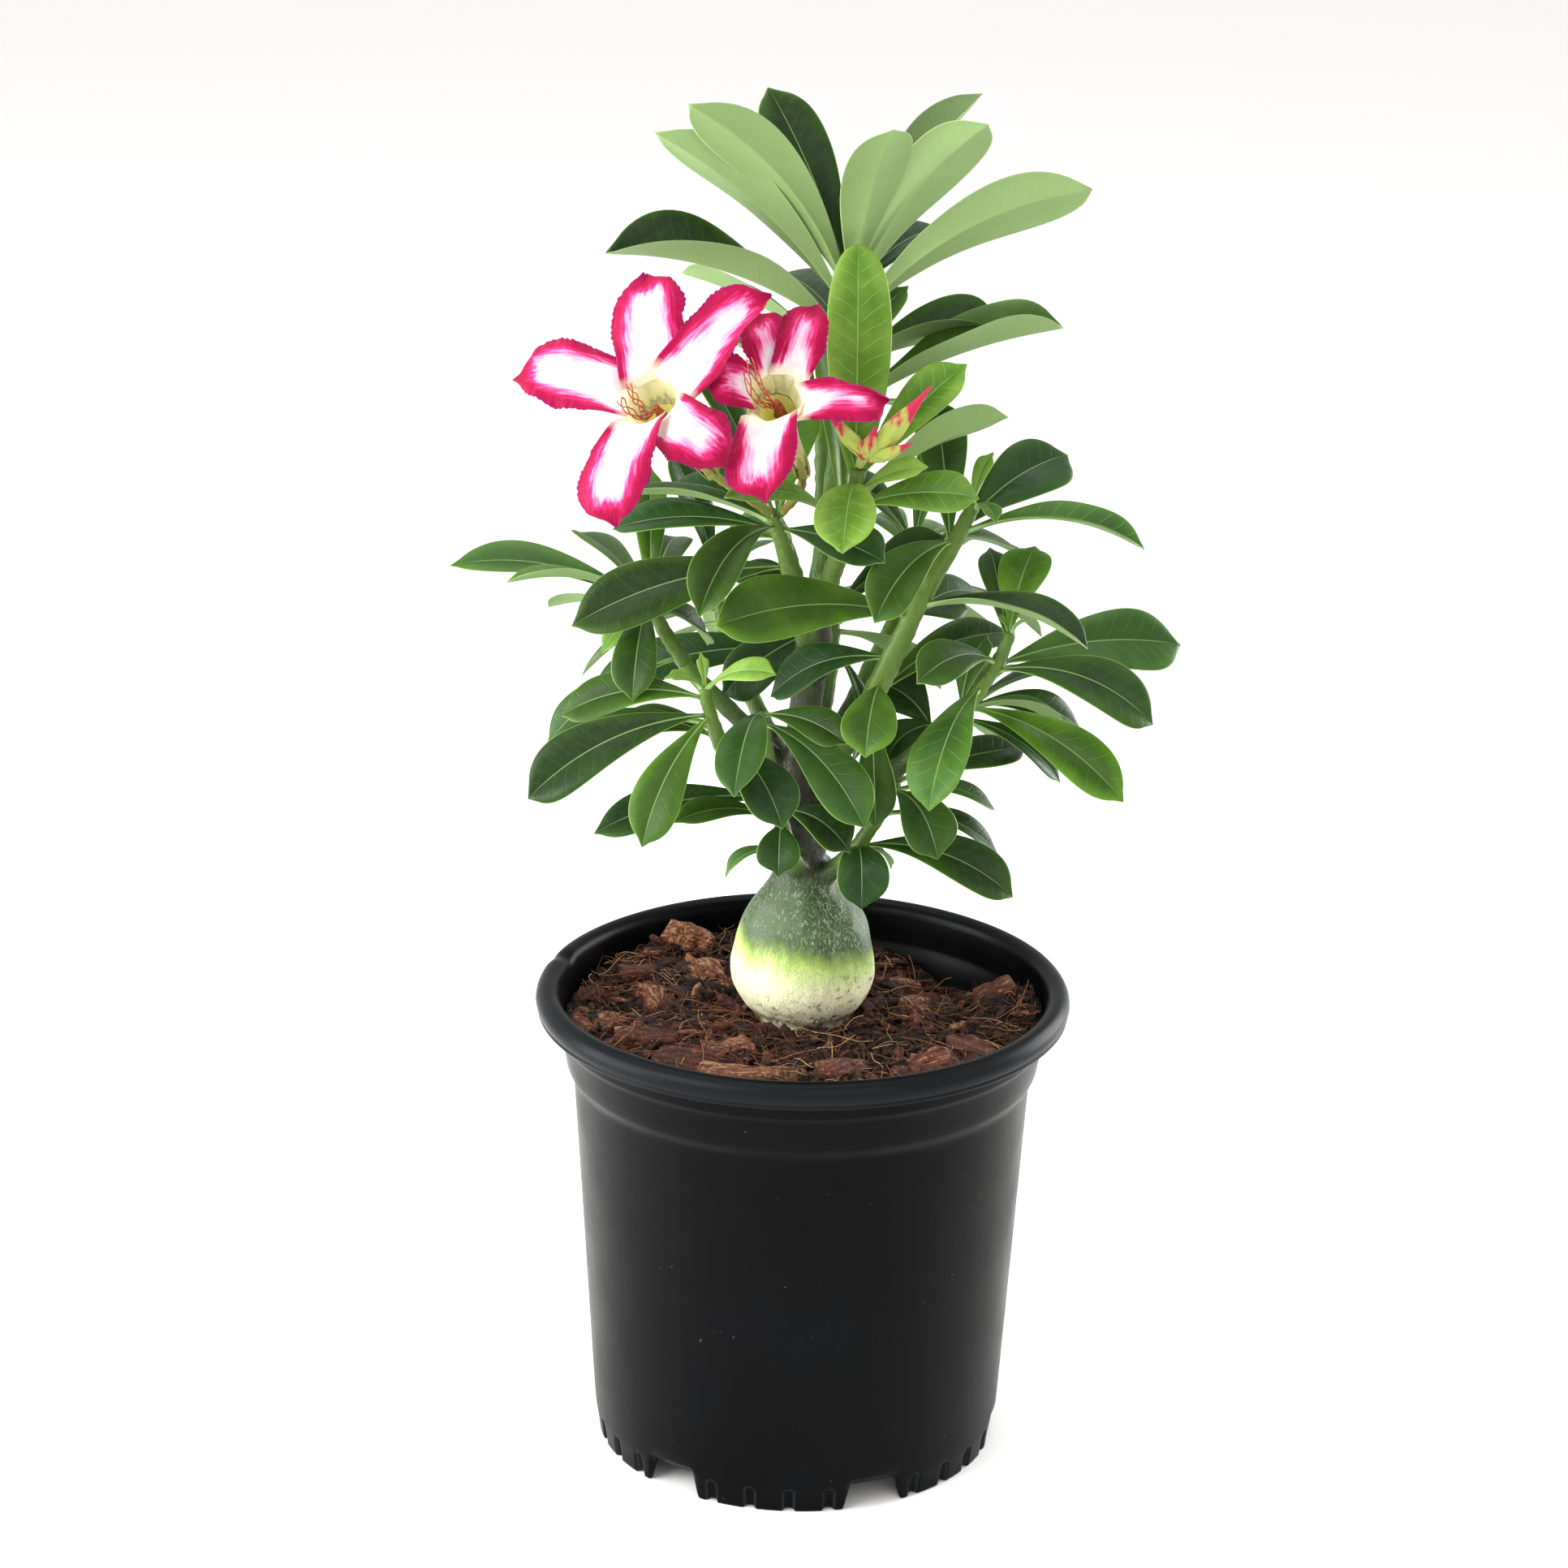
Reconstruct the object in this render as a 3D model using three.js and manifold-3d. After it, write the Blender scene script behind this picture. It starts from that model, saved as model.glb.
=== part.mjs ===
// Potted desert rose: a flowering adenium with a swollen caudex in a black nursery pot.
// Units are millimetres, +Z is up, and the origin is on the pot's axis, on the surface it stands on.
// A leaf is a thin folded blade on its stem, and each leafy stem is one solid.

import * as THREE from 'three';
import { mergeVertices } from 'three/addons/utils/BufferGeometryUtils.js';
import Module from 'manifold-3d';

const wasm = await Module();
wasm.setup();

// Driving dimensions
const gap = 0.3;                    // clearance between neighbouring pieces
const potHeight = 150;
const rimRadius = 82.5;             // outer radius of the rolled rim
const wallThickness = 1.3;
const footRadius = 62.6;            // outer radius at the bottom of the feet
const footThickness = 1.7;
const floorRadius = 61;             // inside radius at the raised floor
const potSides = 32;
const footHeight = 11;              // height of the raised floor's underside
const footGroups = 6;
const footGroupTurn = -7;           // degrees from the front to the first group's middle
const footGapAngle = 15;            // degrees of open base between two groups
const baseEdge = 2.4;               // height of the edge left under the floor between two groups
const groovesPerGroup = 4;
const grooveWidth = 4.2;
const grooveHeight = 8;
const grooveDepth = 1.1;
const drainHoleRadius = 6;
const drainHoleCircle = 42;
const drainHoleSides = 8;
const soilLine = 141;               // height of the potting mix beside the caudex
const lowestMix = 123;              // height of the mix in its deepest hollow
const rootRadius = 14.8;            // radius of the caudex at the soil line
const caudexRadius = 22.3;
const leafThickness = 0.7;
const petalThickness = 0.7;
const flatFold = 21;                // degrees of fold below which a blade is made flat between its edges
const roundSides = 24;              // sides of the caudex and of its hole in the mix
const stemSides = 6;
const bellSides = 10;
const leafSeat = 0.4;               // share of a shoot's radius at which a leaf's root starts
const lastLeafPlace = 0.985;        // place along a branch of its last leaf
const petalSeat = 1.6;              // how far inside the mouth a petal's root starts
const petalDepth = 1.5;             // and how far below it
const chipSink = 0.5;               // height of a bark chip's middle over the mix

// Outer outline of the pot's wall, as radius and height, from the feet to the rim
const wallOutline = [
  [footRadius, 0], [63.8, 9], [70.8, 122], [73, 126.5], [75.2, 136], [75.5, 142],
];
// Cross-section of the rolled rim, from the wall outwards, over the top and down to the inner wall
const rimOutline = [
  [81.6, 142.2], [rimRadius, 144.4], [81.6, 148.4], [79, potHeight], [76.2, 149.3], [75, 147.4],
  [74, 137.6],
];

// Outline of the caudex, as radius and height, from the buried root to the neck
const caudexOutline = [
  [4, 110], [11, 122], [14.4, 134], [rootRadius, soilLine], [17.8, 144.2], [21.2, 149.4],
  [caudexRadius, 155.5], [21.2, 162.5], [18.9, 171.5], [15, 178.5], [11.2, 185], [8.6, 190], [5, 193],
];
const buriedPoints = 4;             // points of that outline at or below the soil line

// Low places and heaps of the potting mix: x, y, change of height, radius
const mixForms = [
  [42, 44, -16, 26], [-30, 46, -3, 22], [-60, 8, -5, 22], [26, 24, 5, 11], [66, 6, 4, 10],
  [-36, 50, 5, 9], [0, -58, 1, 20], [60, -30, -2, 18], [4, 56, -8, 20],
];
// Bark chips on the mix: x, y, length, width, thickness, heading, tilt
const barkChips = [
  [-14, -58, 34, 10, 6, 14, 6], [-34, -47, 22, 14, 7, -8, 10], [-22, -38, 15, 11, 9, 20, -8],
  [12, -52, 18, 10, 7, 62, 8], [-47, -28, 20, 8, 6, 4, 5], [36, -46, 20, 9, 6, 28, -9],
  [52, -28, 18, 9, 6, -40, 8], [60, 10, 15, 10, 9, 30, -14], [36, 2, 14, 8, 6, -60, 8],
  [30, 26, 17, 9, 9, 40, 16], [38, 38, 14, 8, 6, 80, -6], [8, 40, 18, 9, 6, -20, 6],
  [-36, 50, 14, 12, 12, 35, 30], [-30, 30, 16, 9, 7, -50, 8], [-50, 32, 18, 9, 6, 24, 6],
  [-46, 10, 16, 8, 6, -75, 8], [-60, -12, 16, 8, 5, 66, 6], [2, 62, 16, 8, 5, 0, 6],
];

// Branches: the path of each one, its radius at both ends, and where its leafy shoot starts
const limbs = {
  crown: {
    path: [[0, 0, 180], [-2, 0, 212], [0, 0, 248], [5, 1, 290], [9, 2, 332], [10, 3, 373]],
    radius: [6.6, 2.3], start: 0.78,
  },
  flowering: {
    path: [[2, 0, 262], [6, -8, 283], [11, -16, 303], [13.5, -20, 320]], radius: [3.4, 2.2], start: 0.3,
  },
  leftCentre: {
    path: [[1, 0, 250], [-3, -7, 274], [-8, -12, 294], [-11, -13, 303]], radius: [3.6, 2.4], start: 0.3,
  },
  left: {
    path: [[-1, 0, 212], [-18, 1, 232], [-37, 1, 252], [-49, 1, 272]], radius: [3.4, 1.9], start: 0.7,
  },
  lowerLeft: {
    path: [[-1, -1, 198], [-14, -12, 215], [-26, -24, 236], [-31, -29, 255]], radius: [3.4, 1.9], start: 0.62,
  },
  rightUpper: {
    path: [[2, 0, 218], [13, -10, 234], [21, -18, 253], [31, -18, 276], [41, -14, 294], [48, -10, 307]],
    radius: [4.2, 2.1], start: 0.26,
  },
  rightLower: {
    path: [[2, 0, 204], [20, -8, 218], [38, -14, 235], [48, -15, 247], [56, -12, 258], [60, -11, 268]],
    radius: [3.6, 1.8], start: 0.5,
  },
  lowRight: {
    path: [[2, 0, 196], [16, 3, 212], [34, 5, 227], [50, 6, 240]], radius: [3.2, 1.9], start: 0.66,
  },
  lowFront: {
    path: [[-1, -3, 186], [-5, -14, 198], [-10, -17, 220], [-14, -15, 243]], radius: [3, 1.9], start: 0.3,
  },
  lowMiddle: {
    path: [[3, -2, 184], [13, -12, 196], [21, -18, 210], [27, -21, 224]], radius: [3, 1.8], start: 0.36,
  },
  middle: {
    path: [[1, 0, 226], [5, 6, 240], [7, 11, 254], [7, 12, 266]], radius: [3, 1.9], start: 0.55,
  },
  backLeft: {
    path: [[0, 2, 206], [-12, 16, 226], [-24, 30, 248], [-30, 38, 268]], radius: [3.4, 2], start: 0.62,
  },
  backRight: {
    path: [[2, 2, 214], [14, 18, 236], [26, 32, 258], [32, 40, 280]], radius: [3.4, 2], start: 0.62,
  },
  backUpper: {
    path: [[4, 2, 268], [4, 14, 290], [3, 24, 312], [2, 29, 330]], radius: [3.2, 2], start: 0.5,
  },
};

// Leaves of each shoot: place along the shoot from 0 to 1, the leaf's tip (x, y, z), its width,
// the rise of its middle over a straight line, the turn of its blade about its length and its fold,
// and where the blade has them, its twist from root to tip and true for nearly straight sides
const leaves = {
  crown: [
    [0.62, -61, -8, 380, 29, 7, 6, 50, -80], [0.35, -40, 30, 366, 18, 5, 25, 25],
    [0.8, -47, -5, 415, 21, 5, 50, 24], [0.9, -37, -14, 425, 20, 7, 62, 14],
    [0.95, -15, 24, 423, 20, 3, -25, 15], [0.88, 21, -32, 422, 22, 4, 8, 14],
    [0.95, 47, 10, 425, 20, 5, -50, 25], [0.85, 48, -16, 421, 20, 5, -55, 20],
    [0.92, 24, 26, 400, 18, 3, 20, 15], [0.7, 79, -6, 401, 21, 8, -62, 14],
    [0.3, 27, 12, 367, 14, 3, 20, 15], [0.42, 56, 26, 349, 29, 3, 0, 48, 86],
    [0.1, 73, 10, 356, 27, 4, 0, 46, 14], [0.9, 38, 42, 378, 19, 5, 10, 15],
    [0.97, 8, 44, 388, 19, 4, 0, 15], [0.6, -12, 46, 362, 19, 5, 0, 15],
  ],
  flowering: [
    [0.8, 12, -12, 385, 21, 3, 0, 8, 0, true], [0.9, 44, -14, 350, 15.5, 2, 45, 12],
    [0.95, 9, -15, 334, 7, 1, 0, 12], [0.78, 33, -28, 323, 7.5, 2, 55, 15],
    [0.88, 9, -56, 305, 18.5, 6, 0, 16], [0.75, 8, -44, 302, 14, 4, -10, 14],
    [0.65, 48, -32, 315, 14, 3, 50, 12], [0.7, 57, -4, 332, 18, 4, -50, 22],
    [0.45, -25, -36, 315, 12, 6, -30, 15], [0.3, 1, -6, 365, 17, 3, 0, 10],
  ],
  leftCentre: [
    [0.85, -32, -46, 282, 18, 8, -20, 30], [0.35, -70, -22, 271, 21, 5, -50, 12],
    [0.75, -59, 2, 294, 16, 4, -25, 15], [0.9, -56, 0, 305, 14, 4, 5, 25],
    [0.95, -42, 14, 305, 13, 3, -20, 15], [0.6, -28, 14, 287, 14, 3, -30, 12],
    [0.95, -38, 20, 320, 14, 3, -30, 15], [0.97, -40, 16, 350, 14, 3, 0, 10],
    [0.9, -3, 6, 332, 16, 3, 0, 10], [0.8, 21, -38, 297, 16, 2, 30, 12],
  ],
  left: [
    [0.95, -49, 20, 308, 11, 2, 0, 10], [0.85, -108, 4, 281, 16, 7, -22, 15],
    [1, -90, -12, 281, 12, 5, 10, 28], [1, -52, -30, 251, 14, 6, 0, 12],
    [0.9, -31, 10, 256, 16, 3, 20, 20], [0.8, -62, -4, 257, 8, 3, -20, 15],
    [0.9, -72, 32, 284, 16, 4, 15, 15], [0.95, -42, 36, 282, 16, 4, 0, 15],
    [0.7, -80, 26, 262, 14, 4, 15, 15], [0.05, -79, 4, 225, 14, 4, -40, 12],
  ],
  lowerLeft: [
    [1, -42, -34, 259, 5, 2, -30, 10], [1, -32, -26, 264, 4, 1, 0, 10],
    [1, -10, -44, 264, 9.5, 3, 40, 12], [0.6, -48, -52, 213, 16, 5, -25, 10],
    [0.6, -82, -40, 223, 18, 6, -50, 12], [0.85, -73, -22, 243, 15, 5, -45, 12],
    [0.45, -79, -6, 227, 13, 5, -10, 26], [0.35, -60, 8, 228, 12, 4, -35, 12],
    [0.05, -7, -56, 221, 18, 6, 10, 10], [0.2, -59, -8, 234, 13, 4, -35, 12],
  ],
  rightUpper: [
    [1, 53, -8, 322, 7, 1.5, 20, 12], [1, 54, -22, 305, 7, 3, 0, 16],
    [0.85, 76, 14, 316, 20, 4, 40, 10], [0.85, 98, -16, 296, 17, 7, 10, 28],
    [0.8, 19, -42, 280, 17, 6, -35, 22], [0.5, 81, -38, 272, 19, 6, 0, 30],
    [0.45, 51, 6, 274, 14, 4, 30, 12], [0.45, -27, -46, 279, 21, 5, -50, 8],
    [0.2, 17, -46, 240, 17, 5, 0, 12], [0.75, 36, 12, 333, 16, 3, 0, 10],
    [0.3, -11, -12, 247, 17, 5, -35, 10], [0.12, 61, 10, 261, 15, 6, 30, 12],
    [0.1, 20.5, -32, 213, 13, 3, 0, 10],
  ],
  rightLower: [
    [0.9, 54, 12, 287, 11, 2, 0, 14], [1, 67, 4, 290, 17, 3, 0, 12], [0.62, 112, 8, 259, 22, 4, 45, 10],
    [0.56, 102, -26, 245, 19, 7, 35, 14], [0.65, 32, -40, 261, 15, 5, -35, 14],
    [0.38, 36, -52, 226, 20, 8, 10, 10], [1, 64, -13, 272, 4, 1, 0, 10], [1, 57, -7, 272, 4, 1, 0, 10],
    [0.1, 53, -6, 265, 12, 3, 0, 12],
  ],
  lowRight: [
    [0.95, 94, -30, 222, 17, 6, 35, 10], [0.9, 78, 8, 231, 14, 5, -10, 28],
    [0.7, 77, 4, 216, 12, 4, 20, 14], [1, 86, 34, 240, 16, 5, -10, 14],
    [0.9, 62, 46, 238, 16, 5, 0, 14], [0.5, 66, 34, 214, 15, 4, -15, 14],
    [0.95, 46, 30, 258, 14, 3, 0, 14], [0.97, 84, 20, 227, 14, 5, 35, 12],
    [0.3, 22, 14, 243, 16, 3, -50, 12], [0.5, 24, 0, 223, 14, 4, -30, 12],
  ],
  lowFront: [
    [0.95, 17, -54, 221, 17, 6, 25, 12], [1, 11, -34, 240, 12, 3, 40, 12],
    [0.3, -8, -32, 197, 14, 4, 0, 12], [0.38, 13, -32, 205, 15, 4, 30, 14],
    [0.05, -24, -14, 190, 7, 4, -20, 25], [0.45, -63, -28, 208, 14, 5, -45, 12],
    [0.3, -39, -34, 214, 12, 4, -20, 12], [1, -21, -60, 232, 16, 8, 10, 10],
  ],
  lowMiddle: [
    [0.9, 39, -44, 208, 17, 6, 15, 12], [0.6, 58, -12, 198, 12, 5, 20, 14],
    [0.15, 62, -30, 191, 17, 6, 35, 14], [0.1, 26, -10, 192, 8, 3, 0, 12],
    [0.1, 17, -34, 188, 16, 10, 0, 12], [0.9, 57, -6, 210, 11, 4, 20, 14],
    [1, 66, 14, 223, 14, 2, 30, 12],
  ],
  middle: [
    [0.8, -26, 9, 240, 17, 3, -60, 10], [0.4, 14, 8, 220, 13, 6, 0, 10],
    [0.7, 40, 8, 244, 17, 4, -45, 12], [1, 40, 6, 292, 16, 3, 40, 12],
    [0.9, -24, 20, 276, 15, 3, -20, 12], [0.3, -66, 24, 238, 16, 5, -50, 12],
    [0.8, 48, 22, 265, 17, 5, 30, 12], [0.5, -20, 14, 247, 16, 3, -60, 12],
  ],
  backLeft: [
    [1, -62, 52, 262, 18, 5, 10, 15], [0.95, -48, 72, 258, 18, 6, 0, 15],
    [0.9, -18, 74, 268, 18, 6, 0, 15], [1, -8, 54, 286, 16, 4, 0, 15], [1, -44, 48, 306, 16, 3, 0, 14],
    [0.7, -70, 34, 238, 17, 5, 10, 15], [0.7, -26, 70, 236, 17, 6, 0, 15],
    [0.75, -2, 62, 244, 16, 5, 0, 15], [0.5, -52, 60, 226, 17, 5, 0, 15],
  ],
  backRight: [
    [1, 66, 54, 272, 18, 5, 0, 15], [0.95, 48, 76, 270, 18, 6, 0, 15], [0.9, 16, 76, 276, 18, 6, 0, 15],
    [1, 6, 58, 298, 16, 4, 0, 15], [1, 44, 52, 314, 16, 3, 0, 14], [0.6, 72, 44, 250, 17, 5, -10, 15],
    [0.6, 32, 74, 248, 17, 6, 0, 15], [0.5, 56, 66, 238, 16, 5, 0, 15], [0.4, 8, 62, 252, 15, 5, 0, 15],
  ],
  backUpper: [
    [0.95, -32, 44, 342, 18, 5, 10, 15], [0.9, -20, 66, 334, 18, 6, 0, 15],
    [1, 10, 68, 344, 18, 6, 0, 15], [0.95, 36, 50, 342, 18, 5, -10, 15],
    [0.7, 30, 62, 316, 17, 5, 0, 15], [0.6, -36, 52, 312, 17, 5, 0, 15],
    [0.6, 0, 72, 314, 17, 6, 0, 15], [1, 18, 44, 362, 15, 3, 0, 12],
  ],
};

// Flowers: the pedicel, calyx and tube run along one path from the shoot's tip to the mouth.
// A petal is given by its tip (x, y, z), width, rise of its middle, turn and cup.
const flowers = [
  {
    path: [[-12.5, -14.2, 304.5], [-23, -26, 315], [-29, -32, 321], [-41, -40, 337], [-46, -48, 346]],
    facing: [-0.36, -0.62, 0.7],
    petals: [
      [-49, -30, 378, 23, 5, 0, 8], [-85, -36, 349, 25, 5, 0, 8], [-55, -74, 318, 25, 5, 0, 8],
      [-25, -66, 333, 22, 7, 0, -10], [-16, -40, 374, 20, 3, 25, 14],
    ],
    tails: [
      [[-48, -54, 343], [-52, -59, 346], [-55, -60, 350]],
      [[-47, -54, 344], [-50, -60, 349], [-53, -58, 354]],
    ],
  },
  {
    path: [[-8.8, -14.4, 304.7], [-4, -16.5, 311], [-3, -20, 318], [-9, -33, 338], [-11, -44, 347]],
    facing: [-0.05, -0.78, 0.62],
    petals: [
      [-17, -30, 367, 16, 3, 0, 10], [0, -30, 370, 16, 3, 0, 10], [19, -47, 348, 14, 4, 35, 12],
      [-13, -64, 325, 20, 4, 0, 8], [-30, -48, 352, 17, 3, -20, 10],
    ],
    tails: [
      [[-13, -50, 346], [-17, -55, 350], [-20, -54, 358]],
      [[-12, -50, 347], [-15, -55, 353], [-19, -52, 361]],
    ],
  },
];
const mouthRadius = 9;
const stalkRadius = 1.3;
// Bell of a flower, as place along its path and radius: outside to the mouth, then back down inside
const bellOutline = [
  [0.55, 2.1], [0.65, 2.6], [0.75, 4.6], [0.87, 7], [1, mouthRadius],
  [1, mouthRadius - 0.9], [0.89, 6], [0.78, 3.6],
];

// Buds on a short stalk over the flowering shoot's tip: base, tip and greatest radius
const budStalk = [[13.8, -20.4, 321.2], [14.4, -23, 323.4], [16.4, -27, 326.4]];
const buds = [
  [[16, -26.4, 325.4], [34, -27, 347], 3], [[15.6, -26, 325], [18, -29, 335], 2.9],
  [[15.8, -26, 325], [3, -25, 340], 2.3], [[16, -26.4, 325], [29, -31, 331], 2.2],
];

// Plain colours of the pieces
const colours = {
  pot: 0x1e2022, mix: 0x5a3220, caudex: 0xa9b678, leaf: 0x3a6b28, youngLeaf: 0x6fa336,
  petal: 0xe26a90, anther: 0x9a4a2a, stalk: 0x8a9a4a, bud: 0xc4485a,
};

// Solids

// A closed triangle mesh becomes a solid, with its faces turned outwards.
function solidFromTriangles(positions, triangles) {
  let volume = 0;
  const [a, b, c] = [new THREE.Vector3(), new THREE.Vector3(), new THREE.Vector3()];
  for (let i = 0; i < triangles.length; i += 3) {
    a.fromArray(positions, 3 * triangles[i]);
    b.fromArray(positions, 3 * triangles[i + 1]);
    c.fromArray(positions, 3 * triangles[i + 2]);
    volume += a.dot(b.cross(c));
  }
  const order = volume < 0 ? Array.from(triangles).reverse() : Array.from(triangles);
  const mesh = new wasm.Mesh({
    numProp: 3, vertProperties: new Float32Array(positions), triVerts: new Uint32Array(order),
  });
  return new wasm.Manifold(mesh);
}

// A three.js geometry becomes a solid once its shared corners are merged.
function solidFromGeometry(geometry) {
  const bare = new THREE.BufferGeometry();
  const source = geometry.index ? geometry.toNonIndexed() : geometry;
  bare.setAttribute('position', source.getAttribute('position'));
  const merged = mergeVertices(bare, 1e-4);
  const index = merged.index.array;
  const kept = [];
  for (let i = 0; i < index.length; i += 3) {
    const [p, q, r] = [index[i], index[i + 1], index[i + 2]];
    if (p !== q && q !== r && r !== p) kept.push(p, q, r);
  }
  return solidFromTriangles(merged.getAttribute('position').array, kept);
}

function unite(solids) {
  return solids.reduce((whole, solid) => whole.add(solid));
}

function subtractAll(solid, cutters) {
  return cutters.reduce((rest, cutter) => rest.subtract(cutter), solid);
}

function geometryFromSolid(solid) {
  const mesh = solid.getMesh();
  const geometry = new THREE.BufferGeometry();
  geometry.setAttribute('position', new THREE.BufferAttribute(new Float32Array(mesh.vertProperties), 3));
  geometry.setIndex(new THREE.BufferAttribute(new Uint32Array(mesh.triVerts), 1));
  geometry.computeVertexNormals();
  return geometry;
}

// Joins rings of the same even number of points into a closed solid. The first half of a ring is one
// face of the piece and the second half is its back, so both faces are split along the same diagonals.
function loft(rings) {
  const count = rings[0].length;
  const half = count / 2;
  const positions = rings.flat().flatMap((p) => [p.x, p.y, p.z]);
  const triangles = [];
  for (let i = 0; i + 1 < rings.length; i += 1) {
    for (let j = 0; j < count; j += 1) {
      const a = i * count + j;
      const b = i * count + (j + 1) % count;
      const c = b + count;
      const d = a + count;
      if (j < half) triangles.push(a, b, c, a, c, d);
      else triangles.push(a, b, d, b, c, d);
    }
  }
  const last = (rings.length - 1) * count;
  for (let j = 0; j + 1 < half; j += 1) {
    const [p, q, r, s] = [j, j + 1, count - 2 - j, count - 1 - j];
    triangles.push(p, r, q, p, s, r);
    triangles.push(last + p, last + q, last + r, last + p, last + r, last + s);
  }
  return solidFromTriangles(positions, triangles);
}

const vector = (p) => new THREE.Vector3(...p);

function smoothCurve(points) {
  return new THREE.CatmullRomCurve3(points.map(vector), false, 'centripetal');
}

// A ring of points round a curve at one place, square to it
function ringRound(curve, place, radius, sides) {
  const centre = curve.getPoint(place);
  const along = curve.getTangent(place);
  const side = new THREE.Vector3(1, 0.2, 0).cross(along).normalize();
  const up = new THREE.Vector3().crossVectors(along, side);
  return Array.from({ length: sides }, (_, k) => {
    const angle = (2 * Math.PI * k) / sides;
    const point = centre.clone().addScaledVector(side, radius * Math.cos(angle));
    return point.addScaledVector(up, radius * Math.sin(angle));
  });
}

// A tapered stem between two places on a curve
function stem(curve, from, to, radiusAt, steps, sides = stemSides) {
  const rings = [];
  for (let i = 0; i <= steps; i += 1) {
    const place = from + ((to - from) * i) / steps;
    rings.push(ringRound(curve, place, radiusAt(place), sides));
  }
  return loft(rings);
}

function circleRing(radius, height, sides) {
  return Array.from({ length: sides }, (_, k) => {
    const angle = (2 * Math.PI * k) / sides;
    return new THREE.Vector3(radius * Math.cos(angle), radius * Math.sin(angle), height);
  });
}

// Blades

// Half width along a leaf, from 0 at the root to 1 at its widest near three quarters
const leafShape = (s) => (s ** 1.1 * Math.sqrt(1 - s ** 3.2)) / 0.566;
// Half width along a bract-like leaf with nearly straight sides
const oblongShape = (s) => (1 - (1 - s) ** 3) * Math.sqrt(1 - s ** 6);
// Half width along a petal, which keeps a third of its width at the root
const petalShape = (s) => ((0.34 + 1.1 * s) * Math.sqrt(1 - s ** 4)) / 0.968;

// A blade from root to tip: its midrib is a parabola whose middle rises over the straight line, its
// two halves slope up from the midrib by the fold, and it is turned and twisted about its length.
function blade({
  root, tip, width, rise, turn, twist = 0, fold, up, shape, stations, across, thickness, least,
}) {
  const chord = tip.clone().sub(root);
  const along = chord.clone().normalize();
  const lift = up.clone().addScaledVector(along, -up.dot(along)).normalize();
  const swing = new THREE.Vector3().crossVectors(along, lift);
  const folded = THREE.MathUtils.degToRad(fold);
  const rings = stations.map((s) => {
    const turned = THREE.MathUtils.degToRad(turn + twist * (s - 0.5));
    const face = lift.clone().multiplyScalar(Math.cos(turned)).addScaledVector(swing, Math.sin(turned));
    const sideways = new THREE.Vector3().crossVectors(face, along);
    const middle = root.clone().addScaledVector(chord, s).addScaledVector(lift, 4 * rise * s * (1 - s));
    const direction = chord.clone().addScaledVector(lift, 4 * rise * (1 - 2 * s)).normalize();
    const normal = new THREE.Vector3().crossVectors(direction, sideways).normalize();
    const halfWidth = Math.max(least, (width / 2) * shape(s));
    const row = across.map((t) => middle.clone()
      .addScaledVector(sideways, halfWidth * t * Math.cos(folded))
      .addScaledVector(normal, halfWidth * Math.abs(t) * Math.sin(folded)));
    const top = row.map((p) => p.clone().addScaledVector(normal, thickness / 2));
    const bottom = row.map((p) => p.clone().addScaledVector(normal, -thickness / 2));
    return [...top, ...bottom.reverse()];
  });
  return loft(rings);
}

function leaf(root, [, x, y, z, width, rise, turn, fold, twist = 0, oblong = false]) {
  return blade({
    root, tip: new THREE.Vector3(x, y, z), width, rise, turn, twist, fold,
    up: new THREE.Vector3(0, 0, 1), shape: oblong ? oblongShape : leafShape,
    thickness: leafThickness, least: 0.8,
    stations: [0, 0.34, 0.62, 0.86, 1], across: Math.abs(fold) < flatFold ? [-1, 1] : [-1, 0, 1],
  });
}

// Shoots

const limbRadius = ({ radius: [thick, thin] }) => (place) => thick + (thin - thick) * place;

// The woody stretch of a branch, which ends square a gap short of its shoot
function branch(limb) {
  const curve = smoothCurve(limb.path);
  const end = limb.start - gap / curve.getLength();
  return stem(curve, 0, end, limbRadius(limb), 4);
}

// A leafy shoot: the green end of the branch with its leaves rooted in its middle
function shoot(name) {
  const limb = limbs[name];
  const curve = smoothCurve(limb.path);
  const green = stem(curve, limb.start, 1, limbRadius(limb), 4);
  const blades = leaves[name].map((row) => {
    const place = limb.start + (lastLeafPlace - limb.start) * row[0];
    const centre = curve.getPoint(place);
    const outwards = new THREE.Vector3(...row.slice(1, 4)).sub(centre).normalize();
    return leaf(centre.addScaledVector(outwards, leafSeat * limbRadius(limb)(place)), row);
  });
  return unite([green, ...blades]);
}

// Flowers

// Corolla: a bell that widens to the mouth, hollow down to its narrow tube, with the petals
// rooted in the bell's wall
function corolla({ path, facing, petals }) {
  const curve = smoothCurve(path);
  const rings = bellOutline.map(([place, radius]) => ringRound(curve, place, radius, bellSides));
  const mouth = curve.getPoint(1);
  const axis = vector(facing).normalize();
  const blades = petals.map(([x, y, z, width, rise, turn, cup]) => {
    const tip = new THREE.Vector3(x, y, z);
    const out = tip.clone().sub(mouth);
    out.addScaledVector(axis, -out.dot(axis)).normalize();
    const root = mouth.clone().addScaledVector(out, mouthRadius - petalSeat);
    root.addScaledVector(axis, -petalDepth);
    return blade({
      root, tip, width, rise, turn, fold: cup, up: axis, shape: petalShape, thickness: petalThickness,
      least: 1, stations: [0, 0.35, 0.65, 0.87, 1], across: [-1, 0, 1],
    });
  });
  return unite([loft(rings), ...blades]);
}

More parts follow.
